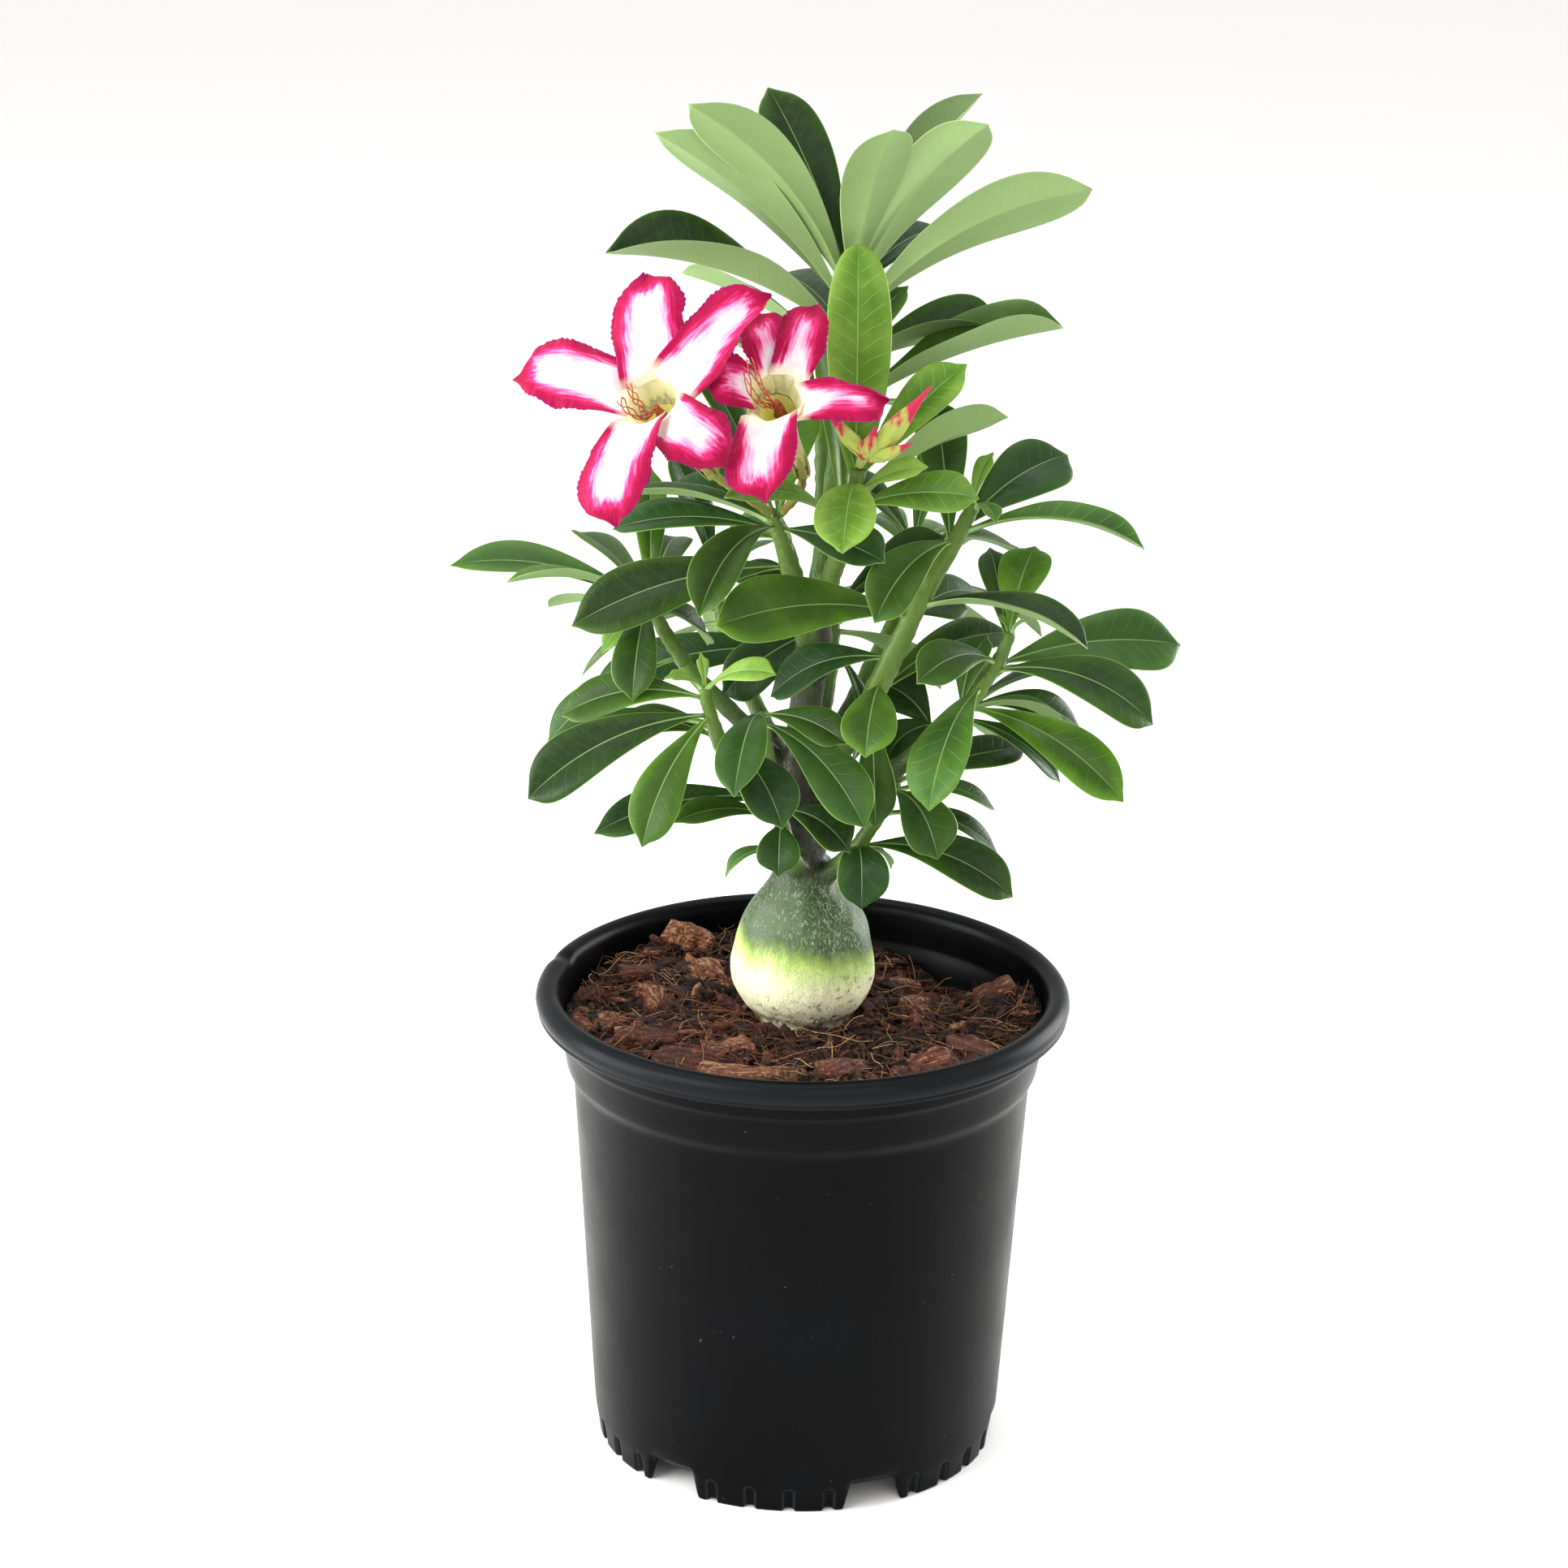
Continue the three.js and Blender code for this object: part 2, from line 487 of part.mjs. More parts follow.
// Anthers: a slim cone in the bell with curly tails that reach out of the mouth
function anthers({ path, tails }) {
  const curve = smoothCurve(path);
  const [foot, top] = [0.79, 0.95];
  const cone = stem(curve, foot, top, (place) => 1.9 - 7 * (place - foot), 3);
  const tailRoot = curve.getPoint(top - 0.02).toArray();
  const threads = tails.map((tail) => stem(smoothCurve([tailRoot, ...tail]), 0, 1, () => 0.5, 6, 4));
  return unite([cone, ...threads]);
}

// Stalk: the pedicel with the calyx at its end, a gap clear of the shoot and of the corolla
function stalk({ path }) {
  const curve = smoothCurve(path);
  const [foot, top] = [0.47, 0.544];
  const pedicel = stem(curve, 0, foot + 0.03, () => stalkRadius, 4);
  const calyx = stem(curve, foot, top, (place) => stalkRadius + 0.1 + 14 * (place - foot), 2, 8);
  return unite([pedicel, calyx]);
}

function bud([base, tip, radius]) {
  const curve = smoothCurve([base, tip]);
  const outline = [[0, 0.5], [0.2, 0.9], [0.45, 1], [0.75, 0.6], [1, 0.16]];
  return loft(outline.map(([place, share]) => ringRound(curve, place, radius * share, stemSides)));
}

function budCluster() {
  return unite([stem(smoothCurve(budStalk), 0, 1, () => stalkRadius, 3), ...buds.map(bud)]);
}

// Pot

// The rim and the wall as one turned outline, closed along its own inside
function potBody() {
  const inside = wallOutline.slice(0, -1).map(([r, z]) => [r - wallThickness, z]).reverse();
  const floorTop = footHeight + wallThickness;
  const innerWall = inside.filter(([, z]) => z > floorTop + 4);
  const profile = [
    ...wallOutline, ...rimOutline, ...innerWall, [floorRadius + 1.4, floorTop + 3],
    [floorRadius, floorTop], [0, floorTop], [0, footHeight], [floorRadius - 0.6, footHeight],
    [footRadius - footThickness, 0], wallOutline[0],
  ];
  const body = new THREE.LatheGeometry(profile.map(([r, z]) => new THREE.Vector2(r, z)), potSides);
  body.rotateX(Math.PI / 2);
  return solidFromGeometry(body);
}

// A cutter that leaves the base open between two groups of feet: narrower at the top
function footGapCutter(angle) {
  const wide = 2 * footRadius * Math.sin(THREE.MathUtils.degToRad(footGapAngle / 2));
  const depth = 12;
  const outline = new THREE.Shape();
  outline.moveTo(-wide / 2 - 2, -1);
  outline.lineTo(wide / 2 + 2, -1);
  outline.lineTo(wide / 2 - 1, footHeight - baseEdge);
  outline.lineTo(-wide / 2 + 1, footHeight - baseEdge);
  const cutter = new THREE.ExtrudeGeometry(outline, { depth, bevelEnabled: false });
  cutter.rotateX(Math.PI / 2);
  cutter.translate(0, depth / 2 - footRadius, 0);
  cutter.rotateZ(angle);
  return solidFromGeometry(cutter);
}

// A shallow arched groove in a foot's outside
function grooveCutter(angle) {
  const outline = new THREE.Shape();
  const half = grooveWidth / 2;
  outline.moveTo(-half, -1);
  outline.lineTo(half, -1);
  outline.lineTo(half, grooveHeight - half);
  outline.absarc(0, grooveHeight - half, half, 0, Math.PI, false);
  const cutter = new THREE.ExtrudeGeometry(outline, { depth: 4, bevelEnabled: false, curveSegments: 2 });
  cutter.rotateX(Math.PI / 2);
  cutter.translate(0, grooveDepth - footRadius - 0.3, 0);
  cutter.rotateZ(angle);
  return solidFromGeometry(cutter);
}

function drainHole(angle) {
  const cutter = new THREE.CylinderGeometry(drainHoleRadius, drainHoleRadius, 8, drainHoleSides);
  cutter.rotateX(Math.PI / 2);
  cutter.translate(0, -drainHoleCircle, footHeight);
  cutter.rotateZ(angle);
  return solidFromGeometry(cutter);
}

function nurseryPot() {
  const pitch = 360 / footGroups;
  const groovePitch = (pitch - footGapAngle) / groovesPerGroup;
  const cutters = [];
  for (let group = 0; group < footGroups; group += 1) {
    const middle = footGroupTurn + group * pitch;
    cutters.push(footGapCutter(THREE.MathUtils.degToRad(middle + pitch / 2)));
    cutters.push(drainHole(THREE.MathUtils.degToRad(middle)));
    for (let groove = 0; groove < groovesPerGroup; groove += 1) {
      const offset = (groove - (groovesPerGroup - 1) / 2) * groovePitch;
      cutters.push(grooveCutter(THREE.MathUtils.degToRad(middle + offset)));
    }
  }
  return subtractAll(potBody(), cutters);
}

// Potting mix

// Height of the mix over the floor, with its low places and heaps as bell-shaped bumps
function mixHeight(x, y) {
  return mixForms.reduce((height, [cx, cy, change, radius]) => (
    height + change * Math.exp(-((x - cx) ** 2 + (y - cy) ** 2) / (radius * radius))
  ), soilLine);
}

function barkChip([x, y, length, width, thickness, heading, tilt]) {
  const chip = new THREE.BoxGeometry(length, width, thickness);
  const corner = chip.getAttribute('position');
  for (let i = 0; i < corner.count; i += 1) {
    if (corner.getX(i) > 0 && corner.getY(i) > 0) corner.setX(i, corner.getX(i) - 0.22 * length);
    if (corner.getX(i) < 0 && corner.getZ(i) > 0) corner.setX(i, corner.getX(i) + 0.14 * length);
  }
  chip.rotateY(THREE.MathUtils.degToRad(tilt));
  chip.rotateZ(THREE.MathUtils.degToRad(heading));
  chip.translate(x, y, mixHeight(x, y) + chipSink);
  return solidFromGeometry(chip);
}

// The mix fills the pot and has a hole that follows the buried part of the caudex
function pottingMix() {
  const floorTop = footHeight + wallThickness + gap;
  const walls = [[floorRadius - 0.6, floorTop], [floorRadius + 0.8, floorTop + 3]];
  const [ledgeRadius, ledgeHeight] = wallOutline[2];
  walls.push([ledgeRadius - wallThickness - gap - 0.2, ledgeHeight]);
  const rings = walls.map(([r, z]) => circleRing(r, z, roundSides));
  for (const radius of [69, 55, 41, 28, 19]) {
    const ring = circleRing(radius, 0, roundSides);
    rings.push(ring.map((p) => p.setZ(Math.max(lowestMix, mixHeight(p.x, p.y)))));
  }
  rings.push(circleRing(rootRadius + gap, soilLine, roundSides));
  const hole = caudexOutline.slice(0, buriedPoints - 1).reverse();
  for (const [r, z] of hole) rings.push(circleRing(r + gap, z - gap, roundSides));
  return unite([loft(rings), ...barkChips.map(barkChip)]);
}

// Caudex and trunk

function caudexAndTrunk() {
  const bulb = loft(caudexOutline.map(([r, z]) => circleRing(r, z, roundSides)));
  return unite([bulb, ...Object.values(limbs).map(branch)]);
}

// The whole plant

const plant = new THREE.Group();

function addPiece(name, solid, color, roughness) {
  const material = new THREE.MeshStandardMaterial({ color, roughness, metalness: 0 });
  const piece = new THREE.Mesh(geometryFromSolid(solid), material);
  piece.name = name;
  plant.add(piece);
}

const pieceNames = {
  crown: 'crown_shoot', flowering: 'flowering_shoot', leftCentre: 'left_centre_shoot', left: 'left_shoot',
  lowerLeft: 'lower_left_shoot', rightUpper: 'right_upper_shoot', rightLower: 'right_lower_shoot',
  lowRight: 'low_right_shoot', lowFront: 'low_front_shoot', lowMiddle: 'low_middle_shoot',
  middle: 'middle_shoot',
  backLeft: 'back_left_shoot', backRight: 'back_right_shoot', backUpper: 'back_upper_shoot',
};

addPiece('nursery_pot', nurseryPot(), colours.pot, 0.45);
addPiece('potting_mix', pottingMix(), colours.mix, 0.95);
addPiece('caudex_and_trunk', caudexAndTrunk(), colours.caudex, 0.7);
for (const [name, pieceName] of Object.entries(pieceNames)) {
  const young = name === 'flowering';
  addPiece(pieceName, shoot(name), young ? colours.youngLeaf : colours.leaf, 0.4);
}
flowers.forEach((flower, index) => {
  const name = `flower_${index + 1}`;
  addPiece(`${name}_corolla`, corolla(flower), colours.petal, 0.6);
  addPiece(`${name}_anthers`, anthers(flower), colours.anther, 0.6);
  addPiece(`${name}_stalk`, stalk(flower), colours.stalk, 0.6);
});
addPiece('flower_buds', budCluster(), colours.bud, 0.6);

export default plant;
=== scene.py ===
"""Potted desert rose: veined folded leaves, two picotee flowers, a swollen caudex, bark and a black pot."""

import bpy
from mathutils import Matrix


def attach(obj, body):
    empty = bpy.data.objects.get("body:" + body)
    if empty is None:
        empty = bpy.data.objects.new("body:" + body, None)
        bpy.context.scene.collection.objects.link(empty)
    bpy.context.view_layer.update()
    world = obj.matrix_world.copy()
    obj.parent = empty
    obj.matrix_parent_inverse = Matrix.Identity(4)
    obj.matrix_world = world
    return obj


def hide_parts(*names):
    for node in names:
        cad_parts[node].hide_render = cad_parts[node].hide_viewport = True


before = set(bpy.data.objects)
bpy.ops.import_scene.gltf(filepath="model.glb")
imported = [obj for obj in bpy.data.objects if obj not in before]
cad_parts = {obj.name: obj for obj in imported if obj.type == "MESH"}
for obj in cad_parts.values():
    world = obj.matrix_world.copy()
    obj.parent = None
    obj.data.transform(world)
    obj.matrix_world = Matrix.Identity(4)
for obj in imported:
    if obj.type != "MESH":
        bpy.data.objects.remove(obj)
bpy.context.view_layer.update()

import functools
import math

import bpy
import numpy as np
from mathutils import Matrix

bl_info = {
    "name": "Potted desert rose",
    "version": (1, 0, 0),
    "blender": (4, 5, 0),
    "location": "View3D > Sidebar > Desert rose",
    "description": "Leaves, flowers, caudex, bark mix and pot of a desert rose",
    "category": "Object",
}

MM = 0.001  # every piece is worked out in millimetres and stored in metres


def linear(colour):
    """Linear RGBA of an sRGB hex colour: c / 12.92 if c is dark, else ((c + 0.055) / 1.055) to the 2.4."""
    channels = [int(colour[i:i + 2], 16) / 255 for i in (1, 3, 5)]
    return *(c / 12.92 if c <= 0.04045 else ((c + 0.055) / 1.055) ** 2.4 for c in channels), 1.0


# Branches: the path of each one, its radius at both ends, and where its leafy shoot starts
LIMBS = {
    "crown": ([(0, 0, 180), (-2, 0, 212), (0, 0, 248), (5, 1, 290), (9, 2, 332), (10, 3, 373)],
              (6.6, 2.3), 0.78),
    "flowering": ([(2, 0, 262), (6, -8, 283), (11, -16, 303), (13.5, -20, 320)], (3.4, 2.2), 0.3),
    "left_centre": ([(1, 0, 250), (-3, -7, 274), (-8, -12, 294), (-11, -13, 303)], (3.6, 2.4), 0.3),
    "left": ([(-1, 0, 212), (-18, 1, 232), (-37, 1, 252), (-49, 1, 272)], (3.4, 1.9), 0.7),
    "lower_left": ([(-1, -1, 198), (-14, -12, 215), (-26, -24, 236), (-31, -29, 255)], (3.4, 1.9), 0.62),
    "right_upper": ([(2, 0, 218), (13, -10, 234), (21, -18, 253), (31, -18, 276), (41, -14, 294),
                     (48, -10, 307)], (4.2, 2.1), 0.26),
    "right_lower": ([(2, 0, 204), (20, -8, 218), (38, -14, 235), (48, -15, 247), (56, -12, 258),
                     (60, -11, 268)], (3.6, 1.8), 0.5),
    "low_right": ([(2, 0, 196), (16, 3, 212), (34, 5, 227), (50, 6, 240)], (3.2, 1.9), 0.66),
    "low_front": ([(-1, -3, 186), (-5, -14, 198), (-10, -17, 220), (-14, -15, 243)], (3, 1.9), 0.3),
    "low_middle": ([(3, -2, 184), (13, -12, 196), (21, -18, 210), (27, -21, 224)], (3, 1.8), 0.36),
    "middle": ([(1, 0, 226), (5, 6, 240), (7, 11, 254), (7, 12, 266)], (3, 1.9), 0.55),
    "back_left": ([(0, 2, 206), (-12, 16, 226), (-24, 30, 248), (-30, 38, 268)], (3.4, 2), 0.62),
    "back_right": ([(2, 2, 214), (14, 18, 236), (26, 32, 258), (32, 40, 280)], (3.4, 2), 0.62),
    "back_upper": ([(4, 2, 268), (4, 14, 290), (3, 24, 312), (2, 29, 330)], (3.2, 2), 0.5),
}

# Leaves of each shoot: place along the shoot from 0 to 1, the leaf's tip (x, y, z), its width,
# the rise of its middle over a straight line, the turn of its blade about its length and its fold,
# and where the blade has them, its twist from root to tip and True for nearly straight sides
LEAVES = {
    "crown": [
        (0.62, -61, -8, 380, 29, 7, 6, 50, -80), (0.35, -40, 30, 366, 18, 5, 25, 25),
        (0.8, -47, -5, 415, 21, 5, 50, 24), (0.9, -37, -14, 425, 20, 7, 62, 14),
        (0.95, -15, 24, 423, 20, 3, -25, 15), (0.88, 21, -32, 422, 22, 4, 8, 14),
        (0.95, 47, 10, 425, 20, 5, -50, 25), (0.85, 48, -16, 421, 20, 5, -55, 20),
        (0.92, 24, 26, 400, 18, 3, 20, 15), (0.7, 79, -6, 401, 21, 8, -62, 14),
        (0.3, 27, 12, 367, 14, 3, 20, 15), (0.42, 56, 26, 349, 29, 3, 0, 48, 86),
        (0.1, 73, 10, 356, 27, 4, 0, 46, 14), (0.9, 38, 42, 378, 19, 5, 10, 15),
        (0.97, 8, 44, 388, 19, 4, 0, 15), (0.6, -12, 46, 362, 19, 5, 0, 15),
    ],
    "flowering": [
        (0.8, 12, -12, 385, 21, 3, 0, 8, 0, True), (0.9, 44, -14, 350, 15.5, 2, 45, 12),
        (0.95, 9, -15, 334, 7, 1, 0, 12), (0.78, 33, -28, 323, 7.5, 2, 55, 15),
        (0.88, 9, -56, 305, 18.5, 6, 0, 16), (0.75, 8, -44, 302, 14, 4, -10, 14),
        (0.65, 48, -32, 315, 14, 3, 50, 12), (0.7, 57, -4, 332, 18, 4, -50, 22),
        (0.45, -25, -36, 315, 12, 6, -30, 15), (0.3, 1, -6, 365, 17, 3, 0, 10),
    ],
    "left_centre": [
        (0.85, -32, -46, 282, 18, 8, -20, 30), (0.35, -70, -22, 271, 21, 5, -50, 12),
        (0.75, -59, 2, 294, 16, 4, -25, 15), (0.9, -56, 0, 305, 14, 4, 5, 25),
        (0.95, -42, 14, 305, 13, 3, -20, 15), (0.6, -28, 14, 287, 14, 3, -30, 12),
        (0.95, -38, 20, 320, 14, 3, -30, 15), (0.97, -40, 16, 350, 14, 3, 0, 10),
        (0.9, -3, 6, 332, 16, 3, 0, 10), (0.8, 21, -38, 297, 16, 2, 30, 12),
    ],
    "left": [
        (0.95, -49, 20, 308, 11, 2, 0, 10), (0.85, -108, 4, 281, 16, 7, -22, 15),
        (1, -90, -12, 281, 12, 5, 10, 28), (1, -52, -30, 251, 14, 6, 0, 12),
        (0.9, -31, 10, 256, 16, 3, 20, 20), (0.8, -62, -4, 257, 8, 3, -20, 15),
        (0.9, -72, 32, 284, 16, 4, 15, 15), (0.95, -42, 36, 282, 16, 4, 0, 15),
        (0.7, -80, 26, 262, 14, 4, 15, 15), (0.05, -79, 4, 225, 14, 4, -40, 12),
    ],
    "lower_left": [
        (1, -42, -34, 259, 5, 2, -30, 10), (1, -32, -26, 264, 4, 1, 0, 10),
        (1, -10, -44, 264, 9.5, 3, 40, 12), (0.6, -48, -52, 213, 16, 5, -25, 10),
        (0.6, -82, -40, 223, 18, 6, -50, 12), (0.85, -73, -22, 243, 15, 5, -45, 12),
        (0.45, -79, -6, 227, 13, 5, -10, 26), (0.35, -60, 8, 228, 12, 4, -35, 12),
        (0.05, -7, -56, 221, 18, 6, 10, 10), (0.2, -59, -8, 234, 13, 4, -35, 12),
    ],
    "right_upper": [
        (1, 53, -8, 322, 7, 1.5, 20, 12), (1, 54, -22, 305, 7, 3, 0, 16),
        (0.85, 76, 14, 316, 20, 4, 40, 10), (0.85, 98, -16, 296, 17, 7, 10, 28),
        (0.8, 19, -42, 280, 17, 6, -35, 22), (0.5, 81, -38, 272, 19, 6, 0, 30),
        (0.45, 51, 6, 274, 14, 4, 30, 12), (0.45, -27, -46, 279, 21, 5, -50, 8),
        (0.2, 17, -46, 240, 17, 5, 0, 12), (0.75, 36, 12, 333, 16, 3, 0, 10),
        (0.3, -11, -12, 247, 17, 5, -35, 10), (0.12, 61, 10, 261, 15, 6, 30, 12),
        (0.1, 20.5, -32, 213, 13, 3, 0, 10),
    ],
    "right_lower": [
        (0.9, 54, 12, 287, 11, 2, 0, 14), (1, 67, 4, 290, 17, 3, 0, 12),
        (0.62, 112, 8, 259, 22, 4, 45, 10), (0.56, 102, -26, 245, 19, 7, 35, 14),
        (0.65, 32, -40, 261, 15, 5, -35, 14), (0.38, 36, -52, 226, 20, 8, 10, 10),
        (1, 64, -13, 272, 4, 1, 0, 10), (1, 57, -7, 272, 4, 1, 0, 10), (0.1, 53, -6, 265, 12, 3, 0, 12),
    ],
    "low_right": [
        (0.95, 94, -30, 222, 17, 6, 35, 10), (0.9, 78, 8, 231, 14, 5, -10, 28),
        (0.7, 77, 4, 216, 12, 4, 20, 14), (1, 86, 34, 240, 16, 5, -10, 14),
        (0.9, 62, 46, 238, 16, 5, 0, 14), (0.5, 66, 34, 214, 15, 4, -15, 14),
        (0.95, 46, 30, 258, 14, 3, 0, 14), (0.97, 84, 20, 227, 14, 5, 35, 12),
        (0.3, 22, 14, 243, 16, 3, -50, 12), (0.5, 24, 0, 223, 14, 4, -30, 12),
    ],
    "low_front": [
        (0.95, 17, -54, 221, 17, 6, 25, 12), (1, 11, -34, 240, 12, 3, 40, 12),
        (0.3, -8, -32, 197, 14, 4, 0, 12), (0.38, 13, -32, 205, 15, 4, 30, 14),
        (0.05, -24, -14, 190, 7, 4, -20, 25), (0.45, -63, -28, 208, 14, 5, -45, 12),
        (0.3, -39, -34, 214, 12, 4, -20, 12), (1, -21, -60, 232, 16, 8, 10, 10),
    ],
    "low_middle": [
        (0.9, 39, -44, 208, 17, 6, 15, 12), (0.6, 58, -12, 198, 12, 5, 20, 14),
        (0.15, 62, -30, 191, 17, 6, 35, 14), (0.1, 26, -10, 192, 8, 3, 0, 12),
        (0.1, 17, -34, 188, 16, 10, 0, 12), (0.9, 57, -6, 210, 11, 4, 20, 14),
        (1, 66, 14, 223, 14, 2, 30, 12),
    ],
    "middle": [
        (0.8, -26, 9, 240, 17, 3, -60, 10), (0.4, 14, 8, 220, 13, 6, 0, 10),
        (0.7, 40, 8, 244, 17, 4, -45, 12), (1, 40, 6, 292, 16, 3, 40, 12),
        (0.9, -24, 20, 276, 15, 3, -20, 12), (0.3, -66, 24, 238, 16, 5, -50, 12),
        (0.8, 48, 22, 265, 17, 5, 30, 12), (0.5, -20, 14, 247, 16, 3, -60, 12),
    ],
    "back_left": [
        (1, -62, 52, 262, 18, 5, 10, 15), (0.95, -48, 72, 258, 18, 6, 0, 15),
        (0.9, -18, 74, 268, 18, 6, 0, 15), (1, -8, 54, 286, 16, 4, 0, 15),
        (1, -44, 48, 306, 16, 3, 0, 14), (0.7, -70, 34, 238, 17, 5, 10, 15),
        (0.7, -26, 70, 236, 17, 6, 0, 15), (0.75, -2, 62, 244, 16, 5, 0, 15),
        (0.5, -52, 60, 226, 17, 5, 0, 15),
    ],
    "back_right": [
        (1, 66, 54, 272, 18, 5, 0, 15), (0.95, 48, 76, 270, 18, 6, 0, 15),
        (0.9, 16, 76, 276, 18, 6, 0, 15), (1, 6, 58, 298, 16, 4, 0, 15), (1, 44, 52, 314, 16, 3, 0, 14),
        (0.6, 72, 44, 250, 17, 5, -10, 15), (0.6, 32, 74, 248, 17, 6, 0, 15),
        (0.5, 56, 66, 238, 16, 5, 0, 15), (0.4, 8, 62, 252, 15, 5, 0, 15),
    ],
    "back_upper": [
        (0.95, -32, 44, 342, 18, 5, 10, 15), (0.9, -20, 66, 334, 18, 6, 0, 15),
        (1, 10, 68, 344, 18, 6, 0, 15), (0.95, 36, 50, 342, 18, 5, -10, 15),
        (0.7, 30, 62, 316, 17, 5, 0, 15), (0.6, -36, 52, 312, 17, 5, 0, 15),
        (0.6, 0, 72, 314, 17, 6, 0, 15), (1, 18, 44, 362, 15, 3, 0, 12),
    ],
}
LAST_LEAF = 0.985      # place along a branch of its last leaf
LEAF_SEAT = 0.4        # share of a shoot's radius at which a leaf's root starts
# How young a shoot's leaves are, from 0 for dark old leaves to 1 for yellow-green new ones
# inner and low shoots get low values: their dark leaves are partly painted shade deep in the foliage
SHOOT_AGE = {
    "flowering": 0.78, "crown": 0.3, "right_upper": 0.36, "right_lower": 0.4, "left": 0.4,
    "lower_left": 0.34, "left_centre": 0.26, "low_front": 0.2, "low_middle": 0.12, "middle": 0.05,
    "low_right": 0.2, "back_left": 0.25, "back_right": 0.25, "back_upper": 0.25,
}

# Flowers: one path of the pedicel, calyx and tube to the mouth, the way the mouth faces, the petals and
# the anther tails. A petal: tip (x, y, z), width, rise, turn, cup, how much fuller one half is than the
# other (negative: the half that comes clockwise), notch of the tip, and the fold of one margin in degrees.
FLOWERS = [
    {
        "path": [(-12.5, -14.2, 304.5), (-23, -26, 315), (-29, -32, 321), (-41, -40, 337), (-46, -48, 346)],
        "facing": (-0.36, -0.62, 0.7),
        "petals": [
            (-49, -30, 378, 25, 5, 0, 8, -0.4, 0.3, 0), (-85, -36, 349, 25, 5, 0, 8, -1, 0, 0),
            (-55, -74, 318, 25, 5, 0, 8, -0.9, 0, 0), (-25, -66, 333, 22, 7, 0, -10, 0.7, 0.15, 0),
            (-14, -40, 375, 21, 3, 22, 12, 0.8, 0, -70),
        ],
        "tails": [
            [(-48, -54, 343), (-52, -59, 346), (-55, -60, 350)],
            [(-47, -54, 344), (-50, -60, 349), (-53, -58, 354)],
        ],
    },
    {
        "path": [(-8.8, -14.4, 304.7), (-4, -16.5, 311), (-3, -20, 318), (-9, -33, 338), (-11, -44, 347)],
        "facing": (-0.05, -0.78, 0.62),
        "petals": [
            (-17, -30, 367, 16, 3, 0, 10, -0.4, 0, 0), (0, -30, 370, 16, 3, 0, 10, 0.5, 0, 0),
            (20, -47, 348, 15, 4, 30, 12, -1, 0, 80), (-13, -64, 323, 22, 4, 0, 8, -1.2, 0, 0),
            (-30, -48, 352, 17, 3, -20, 10, -0.5, 0.1, 0),
        ],
        "tails": [
            [(-13, -50, 346), (-17, -55, 350), (-20, -54, 358)],
            [(-12, -50, 347), (-15, -55, 353), (-19, -52, 361)],
        ],
    },
]
MOUTH_RADIUS = 9
# Place along the path and radius of the bell, up its outside to the lip and down its inside
BELL_OUTSIDE = [
    (0.545, 1.9), (0.58, 2.2), (0.65, 2.6), (0.7, 3.3), (0.75, 4.5), (0.81, 5.9), (0.87, 7), (0.93, 8),
    (0.985, 8.95),
]
BELL_INSIDE = [
    (1, 8.7), (0.985, 8.2), (0.93, 7.2), (0.87, 6), (0.81, 4.7), (0.75, 3.4), (0.7, 2.1), (0.66, 1.4),
]
BELL_RIBS = 15
PETAL_ROOT = (8.1, 0.35)    # radius at which a petal bends out of the mouth, and its height over it
PETAL_FOOT = (5.7, -9)      # the same for its foot inside the bell's wall
PETAL_SWEEP = -13           # degrees round the mouth from a petal's tip back to its root
FOLD_LINE = 0.5             # share of a half's width past which a folded margin is turned over
ANTHER_CONE = (0.79, 0.95)  # where along the flower's path the anther cone starts and ends
CALYX_FOOT = 0.46           # where the calyx starts to widen
STALK_RADIUS = 1.3
# Base, tip and greatest radius of each bud over its short common stalk
BUD_STALK = [(13.8, -20.4, 321.2), (14.4, -23, 323.4), (16.4, -27, 326.4)]
BUDS = [
    ((16, -26.4, 325.4), (34, -27, 347), 3), ((15.6, -26, 325), (18, -29, 335), 2.9),
    ((15.8, -26, 325), (3, -25, 340), 2.3), ((16, -26.4, 325), (29, -31, 331), 2.2),
]
BUD_SAG = 0.6
# Place along a bud and share of its radius
BUD_OUTLINE = [(0, 0.55), (0.2, 0.9), (0.42, 1), (0.7, 0.72), (0.9, 0.34), (1, 0.08)]

# Outline of the caudex, as radius and height, from the buried root to the neck
CAUDEX_OUTLINE = [
    (4, 110), (11, 122), (14.4, 134), (14.8, 141), (17.8, 144.2), (21.2, 149.4), (22.3, 155.5),
    (21.2, 162.5), (18.9, 171.5), (15, 178.5), (11.2, 185), (8.6, 190), (5, 193),
]
# How much a limb widens at its foot, and how far up that reaches
TRUNK_FLARE = (4, 9)
BRANCH_FLARE = (1.9, 5)
SOIL_LINE = 141
LOWEST_MIX = 123
BED_START = 12         # radius at which the bed of the mix starts, inside the bulb
SCATTER_RADIUS = 71.5  # outermost loose bark and fibres, before the wall holds them in
# Low places and heaps of the potting mix: x, y, change of height, radius
MIX_FORMS = [
    (42, 44, -16, 26), (-30, 46, -3, 22), (-60, 8, -5, 22), (26, 24, 5, 11), (66, 6, 4, 10),
    (-36, 50, 5, 9), (0, -58, 1, 20), (60, -30, -2, 18), (4, 56, -8, 20),
]
